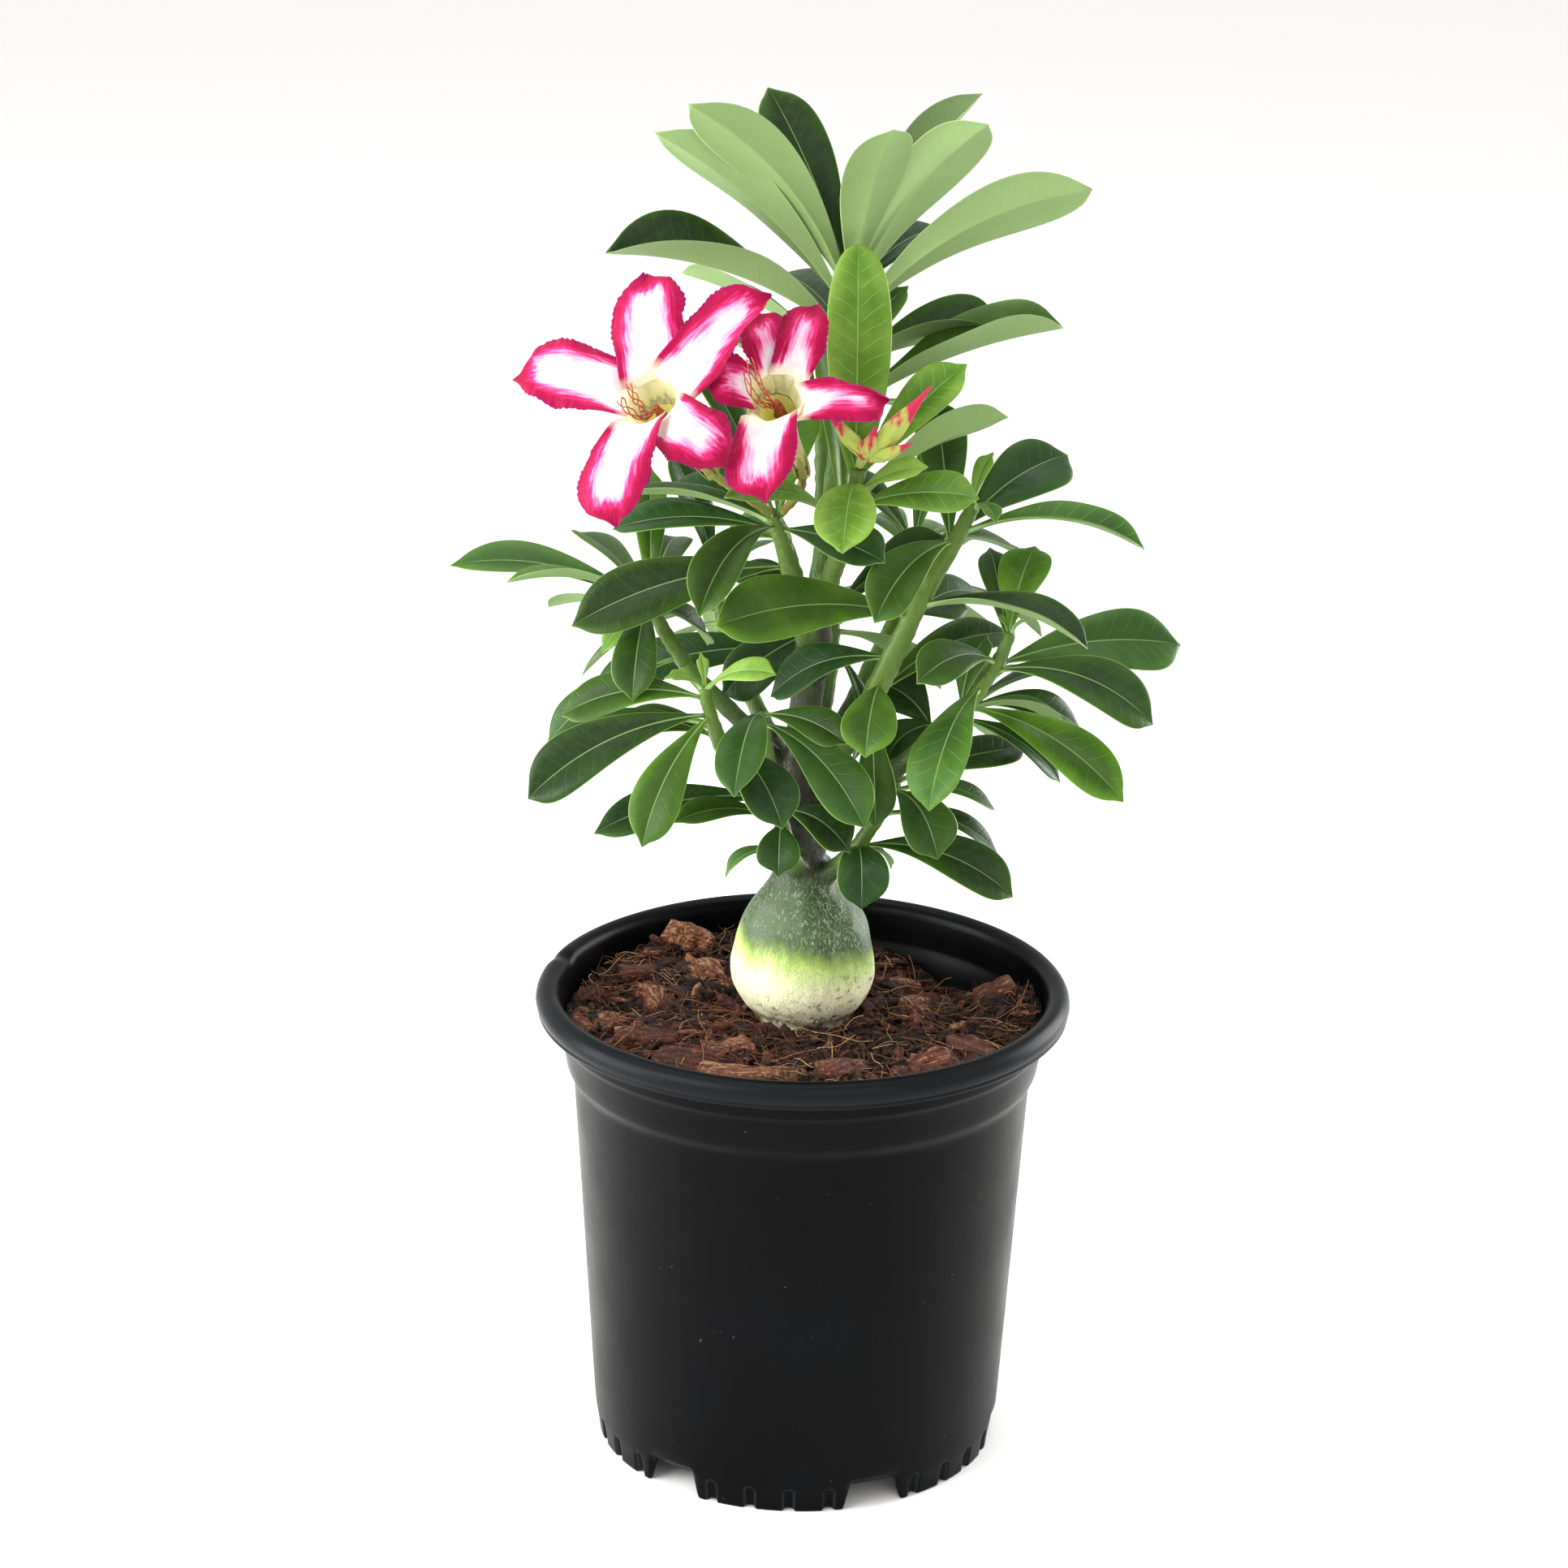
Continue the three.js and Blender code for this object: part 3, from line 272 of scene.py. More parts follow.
# Bark chips listed one by one: x, y, length, width, thickness, heading, tilt
BARK_CHIPS = [
    (-14, -58, 34, 10, 6, 14, 6), (-34, -47, 22, 14, 7, -8, 10), (-22, -38, 15, 11, 9, 20, -8),
    (12, -52, 18, 10, 7, 62, 8), (-47, -28, 20, 8, 6, 4, 5), (36, -46, 20, 9, 6, 28, -9),
    (52, -28, 18, 9, 6, -40, 8), (60, 10, 15, 10, 9, 30, -14), (36, 2, 14, 8, 6, -60, 8),
    (30, 26, 17, 9, 9, 40, 16), (38, 38, 14, 8, 6, 80, -6), (8, 40, 18, 9, 6, -20, 6),
    (-36, 50, 14, 12, 12, 35, 30), (-30, 30, 16, 9, 7, -50, 8), (-50, 32, 18, 9, 6, 24, 6),
    (-46, 10, 16, 8, 6, -75, 8), (-60, -12, 16, 8, 5, 66, 6), (2, 62, 16, 8, 5, 0, 6),
]
# Pale sticks between them, given the same way
STICKS = [
    (-33, 36, 15, 2, 3, -50, 22), (-52, -20, 12, 3, 3, 30, 8), (48, -12, 13, 2, 2.5, 65, 12),
    (-8, -66, 16, 2, 2.5, 8, 4), (20, -60, 12, 1.6, 2, 20, 8), (56, 22, 10, 2, 2.5, -35, 14),
]
# The bed's side, down inside the pot, as radius and height
MIX_SIDE = [(68.8, 118), (67.1, 90), (65.3, 60), (63.5, 30), (60, 13.2)]

# The pot's section as radius and height: up the outside, over the rolled rim and down the inside
POT_OUTSIDE = [
    (62.2, 0), (62.6, 0.35), (62.68, 1), (62.8, 2), (62.9, 3), (63.05, 4), (63.2, 5), (63.35, 6),
    (63.48, 6.7), (63.6, 7.4), (63.68, 7.9), (63.75, 8.4), (63.85, 9.4), (64, 11), (64.3, 15), (66, 42),
    (67.7, 70), (69.4, 98), (70.5, 116), (70.7, 120), (70.9, 121.6), (71.5, 122.8), (72.6, 124.2),
    (73.1, 125.6), (73.7, 129), (74.7, 134.4), (75.05, 135.6), (75.6, 136.2), (75.8, 137), (75.8, 141),
]
POT_RIM = [
    (76, 141.7), (76.8, 142.1), (79.4, 142.1), (80.8, 141.9), (81.5, 142), (81.85, 142.4), (81.8, 142.9),
    (81.6, 143.2), (81.9, 143.7), (82.3, 144.6), (82.5, 145.6), (82.3, 146.9), (81.7, 148.2),
    (80.7, 149.3), (79.4, 149.95), (78, 149.9), (76.8, 149.4), (75.9, 148.6), (75.3, 147.4), (75, 146),
]
POT_INSIDE = [
    (74.5, 141), (74.3, 138), (74.1, 136.6), (73.6, 135.6), (72.4, 129), (71.8, 125.8), (70.9, 124.4),
    (69.9, 123.2), (69.5, 121.6), (69.3, 117), (67.6, 90), (65.9, 62), (64.2, 34), (62.7, 16.5), (62.2, 14),
    (61.3, 12.8), (60.2, 12.3), (59.6, 11.7), (60.2, 11), (61.2, 10.4), (61.3, 9), (60.95, 1), (61.2, 0.3),
]
FLOOR_TOP = 12.3
# The raised floor, let into the wall, as radius and height
FLOOR_DISC = [(20, 12.3), (40, 12.3), (60.5, 12.3), (60.6, 11.6), (60.5, 11), (40, 11), (20, 11)]
FOOT_GROUPS = 6
FOOT_GROUP_TURN = -7        # degrees from the front to the first group's middle
FOOT_HEIGHT = 11            # top of the band that the feet take up
FOOT_RADIUS = 61.9          # radius past which a point is on the band's outside
FOOT_GAP = (9.3, 6.6)       # degrees from the middle of a gap to a foot, at the bottom and at the raised edge
RAISED_EDGE = 8.6           # height of the open base's edge between two groups
GROOVES = 4                 # in each group
GROOVELESS = 15             # degrees between the grooves of two groups
GROOVE = (4.2, 8, 1.1)      # width, height and depth
DRAIN_HOLES = (6, 42)       # radius, and radius of the circle they lie on
RIM_DENT = (165, 2.6, 0.9)  # angle, half width in degrees and depth of a small dent in the rim
RIM_HIGHLIGHT = (78.5, 81.5)   # radii between which the rim's plastic is painted greyer as a highlight along the rolled rim

# Camera fitted to the pot's rim and base: focal length and image side in pixels, place, and angles
IMAGE_SIDE = 1932
FOCAL_PIXELS = 5500
CAMERA_PLACE = (0, -1.284, 0.662)
CAMERA_ANGLES = (-0.31, 19.2, 0.95)  # yaw, pitch downwards and roll, in degrees
# Lights: place in metres, side of the square lamp, and power as a share of the key light setting
LIGHTS = {
    "key": ((-1.2, -1.0, 1.1), 0.9, 0.9), "fill": ((0.5, -1.6, 1.3), 1.2, 0.3),
    "left": ((-0.75, -0.1, 0.3), 0.5, 0.3), "right": ((0.7, 0.4, 0.3), 0.5, 0.3),
    "top": ((-0.1, 0.2, 1.6), 1.2, 0.5),
}
LIGHT_TARGET = np.array([0, 0, 0.22])
FLOOR_REACH = 8             # metres from the middle of the floor to its edges


def size(name, description, default, low=0.0, high=1000.0):
    """A length property that a user sees in metres, given here in millimetres."""
    return bpy.props.FloatProperty(name=name, description=description, default=default * MM,
                                   min=low * MM, max=high * MM, precision=5, subtype="DISTANCE",
                                   unit="LENGTH")


def share(name, description, default):
    """A property from 0 to 1."""
    return bpy.props.FloatProperty(name=name, description=description, default=default, min=0, max=1,
                                   subtype="FACTOR")


def tint(name, description, colour):
    """A colour property with an sRGB hex default."""
    return bpy.props.FloatVectorProperty(name=name, description=description, default=linear(colour),
                                         min=0, max=1, size=4, subtype="COLOR")


class LeafSettings(bpy.types.PropertyGroup):
    """Sizes and colours of the leaves and green shoots."""

    thickness: size("Thickness", "Thickness of a blade in its middle", 0.7)
    vein_spacing: size("Vein spacing", "Distance between two side veins", 4.6)
    wave: share("Wave", "Wave of a blade's margin, as a share of its half width", 0.045)
    # the old leaf colour is darkened partly as painted shade for the inner and back leaves
    old: tint("Old leaf", "Upper side of the oldest leaves", "#182d0c")
    mature: tint("Mature leaf", "Upper side of mature leaves", "#335214")
    young: tint("Young leaf", "Upper side of the newest leaves", "#76993c")
    underside: tint("Underside", "Matt lower side", "#7d9661")
    midrib: tint("Midrib", "Midrib and side veins", "#8fb06c")
    margin: tint("Margin", "Thin pale edge", "#7fa24c")
    # the green stem colour is darkened partly as painted shade inside the foliage
    stem: tint("Green stem", "Bark of the leafy shoots", "#4f6b20")


class FlowerSettings(bpy.types.PropertyGroup):
    """Sizes and colours of the flowers and buds."""

    petal_thickness: size("Petal thickness", "Thickness of a petal", 0.6)
    band: size("Band", "Width of the crimson band along the margin", 4.2)
    crinkle: size("Crinkle", "Height of the crinkles along the margin", 0.5)
    centre: tint("Petal centre", "White middle of the petals", "#d9d0d6")
    blush: tint("Blush", "Pink between the middle and the band", "#da8db2")
    margin: tint("Petal margin", "Crimson edge", "#7c0030")
    throat: tint("Throat", "Inside of the tube", "#e9e6a6")
    tube: tint("Tube", "Outside of the tube", "#c3a47c")
    anther: tint("Anther tails", "Hairy brown tails", "#8f3622")
    stalk: tint("Stalk", "Pedicel and calyx", "#7f8c42")
    bud: tint("Bud", "Closed petals", "#b81f49")
    bud_base: tint("Bud base", "Green of the buds", "#a3b252")


class CaudexSettings(bpy.types.PropertyGroup):
    """Sizes and colours of the caudex, trunk and woody branches."""

    voxel: size("Voxel", "Voxel of the remesh that grows the branches out of the trunk", 0.75, 0.3, 5)
    lumps: size("Lumps", "Height of the caudex's soft lumps", 0.5)
    cream: tint("Base", "Bleached skin near the mix", "#f1efc4")
    lime: tint("Lime band", "Skin between the base and the green", "#a2bd5a")
    green: tint("Green skin", "Green skin of the caudex's upper half", "#2f471e")
    # the trunk's bark colour is darkened partly as painted shade inside the foliage
    bark: tint("Bark", "Older bark of the trunk", "#3c3d2c")
    crack: tint("Cracks", "Brown specks and cracks", "#3e2a1c")


class MixSettings(bpy.types.PropertyGroup):
    """Amounts and colours of the potting mix."""

    flakes: bpy.props.IntProperty(name="Flakes", description="Small bark flakes", default=420, min=0)
    crumbs: bpy.props.IntProperty(name="Crumbs", description="Crumbs of bark", default=900, min=0)
    fibres: bpy.props.IntProperty(name="Fibres", description="Coir fibres", default=1150, min=0)
    bark: tint("Bark", "Fresh bark", "#4a2417")
    dark: tint("Dark bark", "Moist bark and crumb", "#140b07")
    fibre: tint("Fibre", "Coir", "#8a6039")


class PotSettings(bpy.types.PropertyGroup):
    """Finish of the nursery pot."""

    black: tint("Plastic", "Moulded black polyethylene", "#030304")
    roughness: share("Roughness", "Roughness of the plastic", 0.32)
    dust: share("Dust", "Amount of pale dust and scuffs", 0.3)


class StageSettings(bpy.types.PropertyGroup):
    """Floor and light."""

    floor: tint("Floor", "Plain pale floor", "#f7f6f4")
    key: bpy.props.FloatProperty(name="Key light", description="Power of the large key light", default=24,
                                 min=0, unit="POWER")
    world: bpy.props.FloatProperty(name="Surroundings", description="Strength of the white surroundings",
                                   default=0.95, min=0)


# Curves, noise and grids

CURVE_STEP = 1e-3                  # share of a curve over which its direction is taken
ASIDE = np.array([1, 0.2, 0])      # a level way that no curve here follows
UP = np.array([0, 0, 1.0])
# How fine the meshes are: rings along each form and points round it
LEAF_RINGS = 29
PETAL_RINGS = 84
PETAL_FOOT_RINGS = 9
STEM_GRID = (70, 16)
LIMB_GRID = (90, 40)
BULB_GRID = (120, 160)
BELL_GRID = (34, 90)               # for each side of the bell's wall
BED_GRID = (66, 400)
POT_AROUND = 720
POT_STEP = 9                       # longest step along the pot's section, in mm


def unit(vectors):
    """Vectors divided by their lengths."""
    return vectors / np.maximum(np.linalg.norm(vectors, axis=-1, keepdims=True), 1e-12)


def spline(points, places):
    """Points on a centripetal Catmull-Rom curve: between two knots a cubic whose tangents weigh the chords on
    both sides by the square roots of their lengths; the end knots are mirrored to lead in and out."""
    knots = np.asarray(points, float)
    spans = len(knots) - 1
    knots = np.vstack([2 * knots[0] - knots[1], knots, 2 * knots[-1] - knots[-2]])
    along = np.clip(np.asarray(places, float), 0, 1) * spans
    first = np.minimum(along.astype(int), spans - 1)
    w = (along - first)[:, None]
    a, b, c, d = (knots[first + i] for i in range(4))
    before, between, after = (np.sum((q - p) ** 2, -1, keepdims=True) ** 0.25
                              for p, q in ((a, b), (b, c), (c, d)))
    t1 = ((b - a) / before - (c - a) / (before + between) + (c - b) / between) * between
    t2 = ((c - b) / between - (d - b) / (between + after) + (d - c) / after) * between
    return b + t1 * w + (3 * (c - b) - 2 * t1 - t2) * w ** 2 + (2 * (b - c) + t1 + t2) * w ** 3


def spline_frame(points, places):
    """Points of a curve, its direction, and two vectors square to it, the first nearly level."""
    places = np.asarray(places, float)
    along = unit(spline(points, places + CURVE_STEP) - spline(points, places - CURVE_STEP))
    side = unit(np.cross(ASIDE, along))
    return spline(points, places), along, side, np.cross(along, side)


def ripple(points, scale, seed, waves=14):
    """Smooth noise near -1 to 1: sines of the points along seeded directions, with wavelengths near scale."""
    draw = np.random.default_rng(seed)
    ways = unit(draw.normal(size=(waves, 3))) * (2 * np.pi / (scale * draw.uniform(0.6, 1.6, (waves, 1))))
    total = np.sin(points @ ways.T + draw.uniform(0, 2 * np.pi, waves)).sum(-1)
    return total / math.sqrt(waves)


def smooth_step(x, low, high):
    """0 below low, 1 above high, and an S between."""
    t = np.clip((x - low) / (high - low), 0, 1)
    return t * t * (3 - 2 * t)


def circle(count):
    """Angles of a full turn in equal steps."""
    return np.linspace(0, 2 * np.pi, count, endpoint=False)


def tube(path, places, radii, around):
    """Rings round a curve: centre + radius * (cos a * side + sin a * up), a from 0 to a full turn."""
    centre, _, side, up = spline_frame(path, places)
    angle = circle(around)
    radii = np.broadcast_to(np.asarray(radii, float).reshape(len(places), -1), (len(places), around))
    spokes = np.cos(angle)[None, :, None] * side[:, None] + np.sin(angle)[None, :, None] * up[:, None]
    return centre[:, None] + radii[..., None] * spokes


def grid(x, y, z):
    """Points, or the numbers of a mark, from three arrays that are spread over one another's shapes."""
    return np.stack(np.broadcast_arrays(x, y, z), -1)


def pushed(middle, *pushes):
    """Rings about a line: middle + amount * way, summed over the (amount, way) pairs."""
    rings = middle[:, None]
    for amount, way in pushes:
        rings = rings + amount[..., None] * np.reshape(way, (-1, 1, 3))
    return rings


def swollen(rings, lumps):
    """Rings with each point pushed away from its ring's middle by the height of the lumps there."""
    return rings + lumps[..., None] * unit(rings - rings.mean(1, keepdims=True))


def turned(outline, around):
    """A surface of revolution: radius and height turned round the Z axis."""
    r, z = np.asarray(outline, float).T[..., None]
    angle = circle(around)
    return grid(r * np.cos(angle), r * np.sin(angle), z)


def dense(outline, longest):
    """An outline with each span cut into steps no longer than the given length."""
    points = np.asarray(outline, float)
    steps = np.maximum(1, np.ceil(np.linalg.norm(np.diff(points, axis=0), axis=1) / longest).astype(int))
    spans = [np.linspace(a, b, n, endpoint=False) for a, b, n in zip(points[:-1], points[1:], steps)]
    return np.vstack([*spans, points[-1:]])


class Surface:
    """Grids of rings gathered into one mesh. A grid is rows x around x 3 in millimetres; each ring closes on
    itself. Its ends close at a pole in the middle of the end ring, or the last ring joins the first."""

    def __init__(self, *marks):
        """Starts an empty surface whose points carry the marks named."""
        self.points, self.quads, self.fans, self.slots = [], [], [], ([], [])
        self.marks = {mark: [] for mark in marks}
        self.count = 0

    def add(self, rings, slots=0, ring_shaped=False, **marks):
        """Adds a grid, its faces' material slots and three numbers for each mark; its faces point
        outwards."""
        rows, around = rings.shape[:2]
        spans = rows if ring_shaped else rows - 1
        row, turn = np.meshgrid(np.arange(spans), np.arange(around), indexing="ij")
        row_after, turn_after = (row + 1) % rows, (turn + 1) % around
        corners = [(row, turn), (row, turn_after), (row_after, turn_after), (row_after, turn)]
        quads = np.stack([i * around + j for i, j in corners], -1).reshape(-1, 4)
        slots = np.broadcast_to(slots, (spans, around)).ravel()
        flat = rings.reshape(-1, 3)
        fans = np.zeros((0, 3), int)
        if not ring_shaped:
            flat = np.vstack([flat, rings[0].mean(0), rings[-1].mean(0)])
            here, after = np.arange(around), (np.arange(around) + 1) % around
            pole, last = rows * around, (rows - 1) * around
            fans = np.vstack([grid(after, here, pole), grid(last + here, last + after, pole + 1)])
            slots = np.concatenate([slots, slots[:around], slots[-around:]])
        a, b, c, d = (flat[quads[:, i]] for i in range(4))
        volume = np.sum(np.cross(b - a, d - b) * ((a + b + c + d) / 4 - flat.mean(0)))
        if volume < 0:
            quads, fans = quads[:, ::-1], fans[:, ::-1]
        self.points.append(flat)
        self.quads.append(quads + self.count)
        self.fans.append(fans + self.count)
        self.slots[0].append(slots[:len(quads)])
        self.slots[1].append(slots[len(quads):])
        for mark, gathered in self.marks.items():
            value = np.broadcast_to(grid(*marks.get(mark, (0, 0, 0))), (rows, around, 3))
            ends = [] if ring_shaped else [value[0].mean(0), value[-1].mean(0)]
            gathered.append(np.vstack([value.reshape(-1, 3), *ends]))
        self.count += len(flat)

    def build(self, name, materials):
        """The mesh object: first all quads, then the triangles at the poles."""
        mesh = bpy.data.meshes.new(name)
        faces = np.vstack(self.quads).tolist() + np.vstack(self.fans).tolist()
        mesh.from_pydata(np.vstack(self.points) * MM, [], faces)
        for mark, gathered in self.marks.items():
            attribute = mesh.attributes.new(mark, "FLOAT_VECTOR", "POINT")
            attribute.data.foreach_set("vector", np.vstack(gathered).astype(np.float32).ravel())
        slots = np.concatenate(self.slots[0] + self.slots[1])
        mesh.polygons.foreach_set("material_index", slots.astype(np.int32))
        return new_piece(name, mesh, materials)


def new_piece(name, mesh, materials):
    """A smooth-shaded object at the origin with its materials."""
    for material in materials:
        mesh.materials.append(material)
    mesh.shade_smooth()
    mesh.validate()
    piece = bpy.data.objects.new(name, mesh)
    bpy.context.scene.collection.objects.link(piece)
    return piece


def applied(rough, *modifiers):
    """The mesh of a rough object with its modifiers applied, each given as a kind and its settings. The rough
    object is removed."""
    for kind, settings in modifiers:
        modifier = rough.modifiers.new(kind.lower(), kind)
        for name, value in settings.items():
            setattr(modifier, name, value)
    ready = rough.evaluated_get(bpy.context.evaluated_depsgraph_get())
    mesh = bpy.data.meshes.new_from_object(ready)
    bpy.data.objects.remove(rough)
    return mesh


def stand_for(piece, slot, *nodes):
    """The piece rides on the one body and replaces its nodes; the slot is not used."""
    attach(piece, "root")
    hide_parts(*nodes)


# Materials

FROM, TO = 6, 7        # the colour inputs of a Mix node


def add(tree, kind, inputs=(), output=0, ramp=(), **settings):
    """Adds a shader node with its settings, its inputs as values or links, in their order or by name, and
    the stops of its colour ramp, and gives the output asked for. A Math node adds unless its operation is
    given."""
    made = tree.nodes.new("ShaderNode" + kind)
    for name, value in settings.items():
        setattr(made, name, value)
    for key, value in inputs.items() if isinstance(inputs, dict) else enumerate(inputs):
        if isinstance(value, bpy.types.NodeSocket):
            tree.links.new(value, made.inputs[key])
        else:
            made.inputs[key].default_value = value
    for i, (position, colour) in enumerate(ramp):
        stops = made.color_ramp.elements
        stop = stops[i] if i < len(stops) else stops.new(position)
        stop.position, stop.color = position, colour
    return made.outputs[output] if made.outputs else None


def new_material(name):
    """An empty material, the function that adds nodes to it, and its object coordinates."""
    material = bpy.data.materials.new(name)
    material.use_nodes = True
    material.node_tree.nodes.clear()
    node = functools.partial(add, material.node_tree)
    return material, node, node("TexCoord", output="Object")


def read_mark(node, name):
    """A mark of the surface: its vector and the three numbers in it."""
    vector = node("Attribute", output="Vector", attribute_name=name)
    return vector, *node("SeparateXYZ", (vector,)).node.outputs


def blotches(node, here, spacing, detail, *span):
    """Soft blotches a spacing in mm apart: noise, taken from the span's first two values to its last two."""
    noise = node("TexNoise", {"Vector": here, "Scale": 1 / (spacing * MM), "Detail": detail})
    return node("MapRange", (noise, *span))


def finished(material, node, surface, height=None, depth=0, strength=0):
    """The material, its shader's inputs set, with a relief of the given height that is depth mm deep."""
    if height is not None:
        surface["Normal"] = node("Bump", {"Height": height, "Distance": depth * MM, "Strength": strength})
    node("OutputMaterial", (node("BsdfPrincipled", surface),))
    return material


def blade_pattern(node, here, spacing):
    """Side veins and midrib as 0 to 1, with the numbers they come from. Veins are lines a spacing in mm
    apart that leave the midrib at a slant and bend forwards; the midrib tapers to the tip. The blade mark is
    across, along and distance to the margin in mm; the tone mark is age, seed and place from root to tip."""
    _, across, along, rim = read_mark(node, "blade")
    _, age, seed, place = read_mark(node, "tone")
    away = node("Math", (across,), operation="ABSOLUTE")
    slant = node("Math", (away, -0.95), operation="MULTIPLY")
    bent = node("Math", (away, away), operation="MULTIPLY")
    bent = node("Math", (bent, 0.035, slant), operation="MULTIPLY_ADD")
    wobble = node("TexNoise", {"Vector": here, "Scale": 1 / (6 * MM), "Detail": 1})
    wobble = node("Math", (wobble, 2.4, bent), operation="MULTIPLY_ADD")
    side = node("Math", (across, 0), operation="GREATER_THAN")
    side = node("Math", (side, 1.7, wobble), operation="MULTIPLY_ADD")
    phase = node("Math", (node("Math", (along, side)), spacing), operation="DIVIDE")
    line = node("MapRange", (node("Math", (phase, 0.5), operation="PINGPONG"), 0.085, 0.0))
    fade = node("Math", (node("MapRange", (rim, 0.6, 2.2)), node("MapRange", (away, 0.3, 1.4))),
                operation="MULTIPLY")
    veins = node("Math", (line, fade), operation="MULTIPLY")
    width = node("Math", (place, -0.24, 0.34), operation="MULTIPLY_ADD")
    midrib = node("MapRange", (node("Math", (away, width), operation="DIVIDE"), 1.25, 0.45))
    return veins, midrib, rim, age, seed, place


def leaf_upper(looks):
    """Waxy cuticle of the upper side: deep green with a broad soft gloss, a thin pale midrib, veins that
    hardly show, a thin pale margin and a brighter green painted towards it as light shining through the
    edge; some leaves bluish; yellow-green and clearly veined where it is young."""
    material, node, here = new_material("waxy_leaf_cuticle")
    veins, midrib, rim, age, seed, place = blade_pattern(node, here, looks.vein_spacing / MM)
    lively = blotches(node, here, 14, 2, 0.3, 0.7, -0.12, 0.12)
    # painted light: brighter green towards the margin stands in for light shining through the thin edge
    painted_translucency = node("MapRange", (rim, 5.0, 0.4, -0.1, 0.13))
    colour = node("ValToRGB", (node("Math", (node("Math", (age, lively)), painted_translucency)),), ramp=[
        (0.0, looks.old), (0.42, looks.mature), (0.7, linear("#4f781c")), (1.0, looks.young)])
    mottled = blotches(node, here, 2.2, 4, 0.35, 0.7, 0.0, 0.22)
    seen_veins = node("MapRange", (age, 0.45, 0.95, 0.03, 0.32))
    seen_rib = node("MapRange", (place, 0.85, 1.0, 0.6, 0.15))
    for amount, over in (
            (node("MapRange", (seed, 0.4, 0.0, 0.0, 0.5)), linear("#1c4222")),
            (mottled, looks.mature),
            (node("Math", (veins, seen_veins), operation="MULTIPLY"), looks.midrib),
            (node("Math", (midrib, seen_rib), operation="MULTIPLY"), looks.midrib),
            (node("MapRange", (rim, 0.34, 0.1, 0.0, 0.75)), looks.margin)):
        colour = node("Mix", {0: amount, FROM: colour, TO: over}, 2, data_type="RGBA")
    relief = node("Math", (veins, -0.45), operation="MULTIPLY")
    for height, weight in ((mottled, 1.4), (midrib, -0.5)):
        relief = node("Math", (height, weight, relief), operation="MULTIPLY_ADD")
    gloss = blotches(node, here, 11, 3, 0.3, 0.7, 0.3, 0.46)
    return finished(material, node, {"Base Color": colour, "Roughness": gloss, "IOR": 1.45,
                                     "Specular IOR Level": 0.2}, relief, 0.2, 0.6)


def leaf_underside(looks):
    """Matt lower epidermis: pale grey-green without gloss, with a slightly raised midrib and hardly any
    veins."""
    material, node, here = new_material("matt_leaf_underside")
    veins, midrib, rim, age, _, place = blade_pattern(node, here, looks.vein_spacing / MM)
    seen_rib = node("MapRange", (place, 0.15, 0.7, 0.5, 0.08))
    colour = looks.underside
    for amount, over in (
            (node("Math", (age, 0.3), operation="MULTIPLY"), looks.young),
            (blotches(node, here, 10, 4, 0.3, 0.7, 0.0, 0.4), linear("#748f58")),
            (node("Math", (veins, 0.1), operation="MULTIPLY"), linear("#5f8649")),
            (node("Math", (midrib, seen_rib), operation="MULTIPLY"), linear("#9dbb6c")),
            (node("MapRange", (rim, 0.4, 0.1, 0.0, 0.55)), linear("#a6c98a"))):
        colour = node("Mix", {0: amount, FROM: colour, TO: over}, 2, data_type="RGBA")
    fine = node("TexNoise", {"Vector": here, "Scale": 1 / (1.2 * MM), "Detail": 3})
    relief = node("Math", (veins, 0.5, fine), operation="MULTIPLY_ADD")
    return finished(material, node, {"Base Color": colour, "Roughness": 0.6, "IOR": 1.4,
                                     "Specular IOR Level": 0.3}, relief, 0.1, 0.4)


def green_stem(looks):
    """Young green bark: smooth and satin, yellow-green darkened partly as painted shade inside the foliage,
    finely streaked lengthwise, with darker patches.
    """
    material, node, here = new_material("green_shoot_bark")
    lengthwise = node("Mapping", {"Vector": here, "Scale": (1, 1, 0.3)})
    streaks = node("TexNoise", {"Vector": lengthwise, "Scale": 1 / (1.6 * MM), "Detail": 3})
    colour = looks.stem
    for amount, over in ((node("MapRange", (streaks, 0.4, 0.7, 0.0, 0.4)), linear("#687f38")),
                         (blotches(node, here, 13, 3, 0.4, 0.7, 0.0, 0.7), linear("#446420"))):
        colour = node("Mix", {0: amount, FROM: colour, TO: over}, 2, data_type="RGBA")
    return finished(material, node, {"Base Color": colour, "Roughness": 0.42, "IOR": 1.45,
                                     "Specular IOR Level": 0.4}, streaks, 0.15, 0.5)


# Leafy shoots

HALF_ACROSS = np.array([0, 0.05, 0.12, 0.23, 0.38, 0.55, 0.72, 0.87, 0.96, 1])
ACROSS = np.concatenate([-HALF_ACROSS[:0:-1], HALF_ACROSS])   # closer together at the rib and the margins
ROUND = np.concatenate([ACROSS, ACROSS[-2:0:-1]])[None]       # over the upper side and back under the lower
UPPER = np.concatenate([np.ones(len(ACROSS)), -np.ones(len(ACROSS) - 2)])[None]
ROUNDED = np.sqrt(np.maximum(0, 1 - np.abs(ROUND) ** 8))      # how a blade thins to its round margins
BENEATH = np.where(np.arange(ROUND.size) < len(ACROSS) - 1, 0, 1)   # material slot of each strip of a leaf
STEM_SLOT = 2
PETIOLE_RADIUS = 0.75


def blade_frame(root, tip, rise, turn, twist, up, s):
    """Midrib, side and face of a blade at places s: root + chord*s + lift*4*rise*s*(1-s); the face is the
    lift turned about the chord by turn + twist*(s - 1/2) degrees."""
    chord = tip - root
    along = unit(chord)
    lift = unit(up - along * (up @ along))
    angle = np.radians(turn + twist * (s - 0.5))[:, None]
    face = lift * np.cos(angle) + np.cross(along, lift) * np.sin(angle)
    middle = root + chord * s[:, None] + lift * (4 * rise * s * (1 - s))[:, None]
    direction = unit(chord + lift * (4 * rise * (1 - 2 * s))[:, None])
    sideways = np.cross(face, along)
    return middle, sideways, unit(np.cross(direction, sideways)), direction


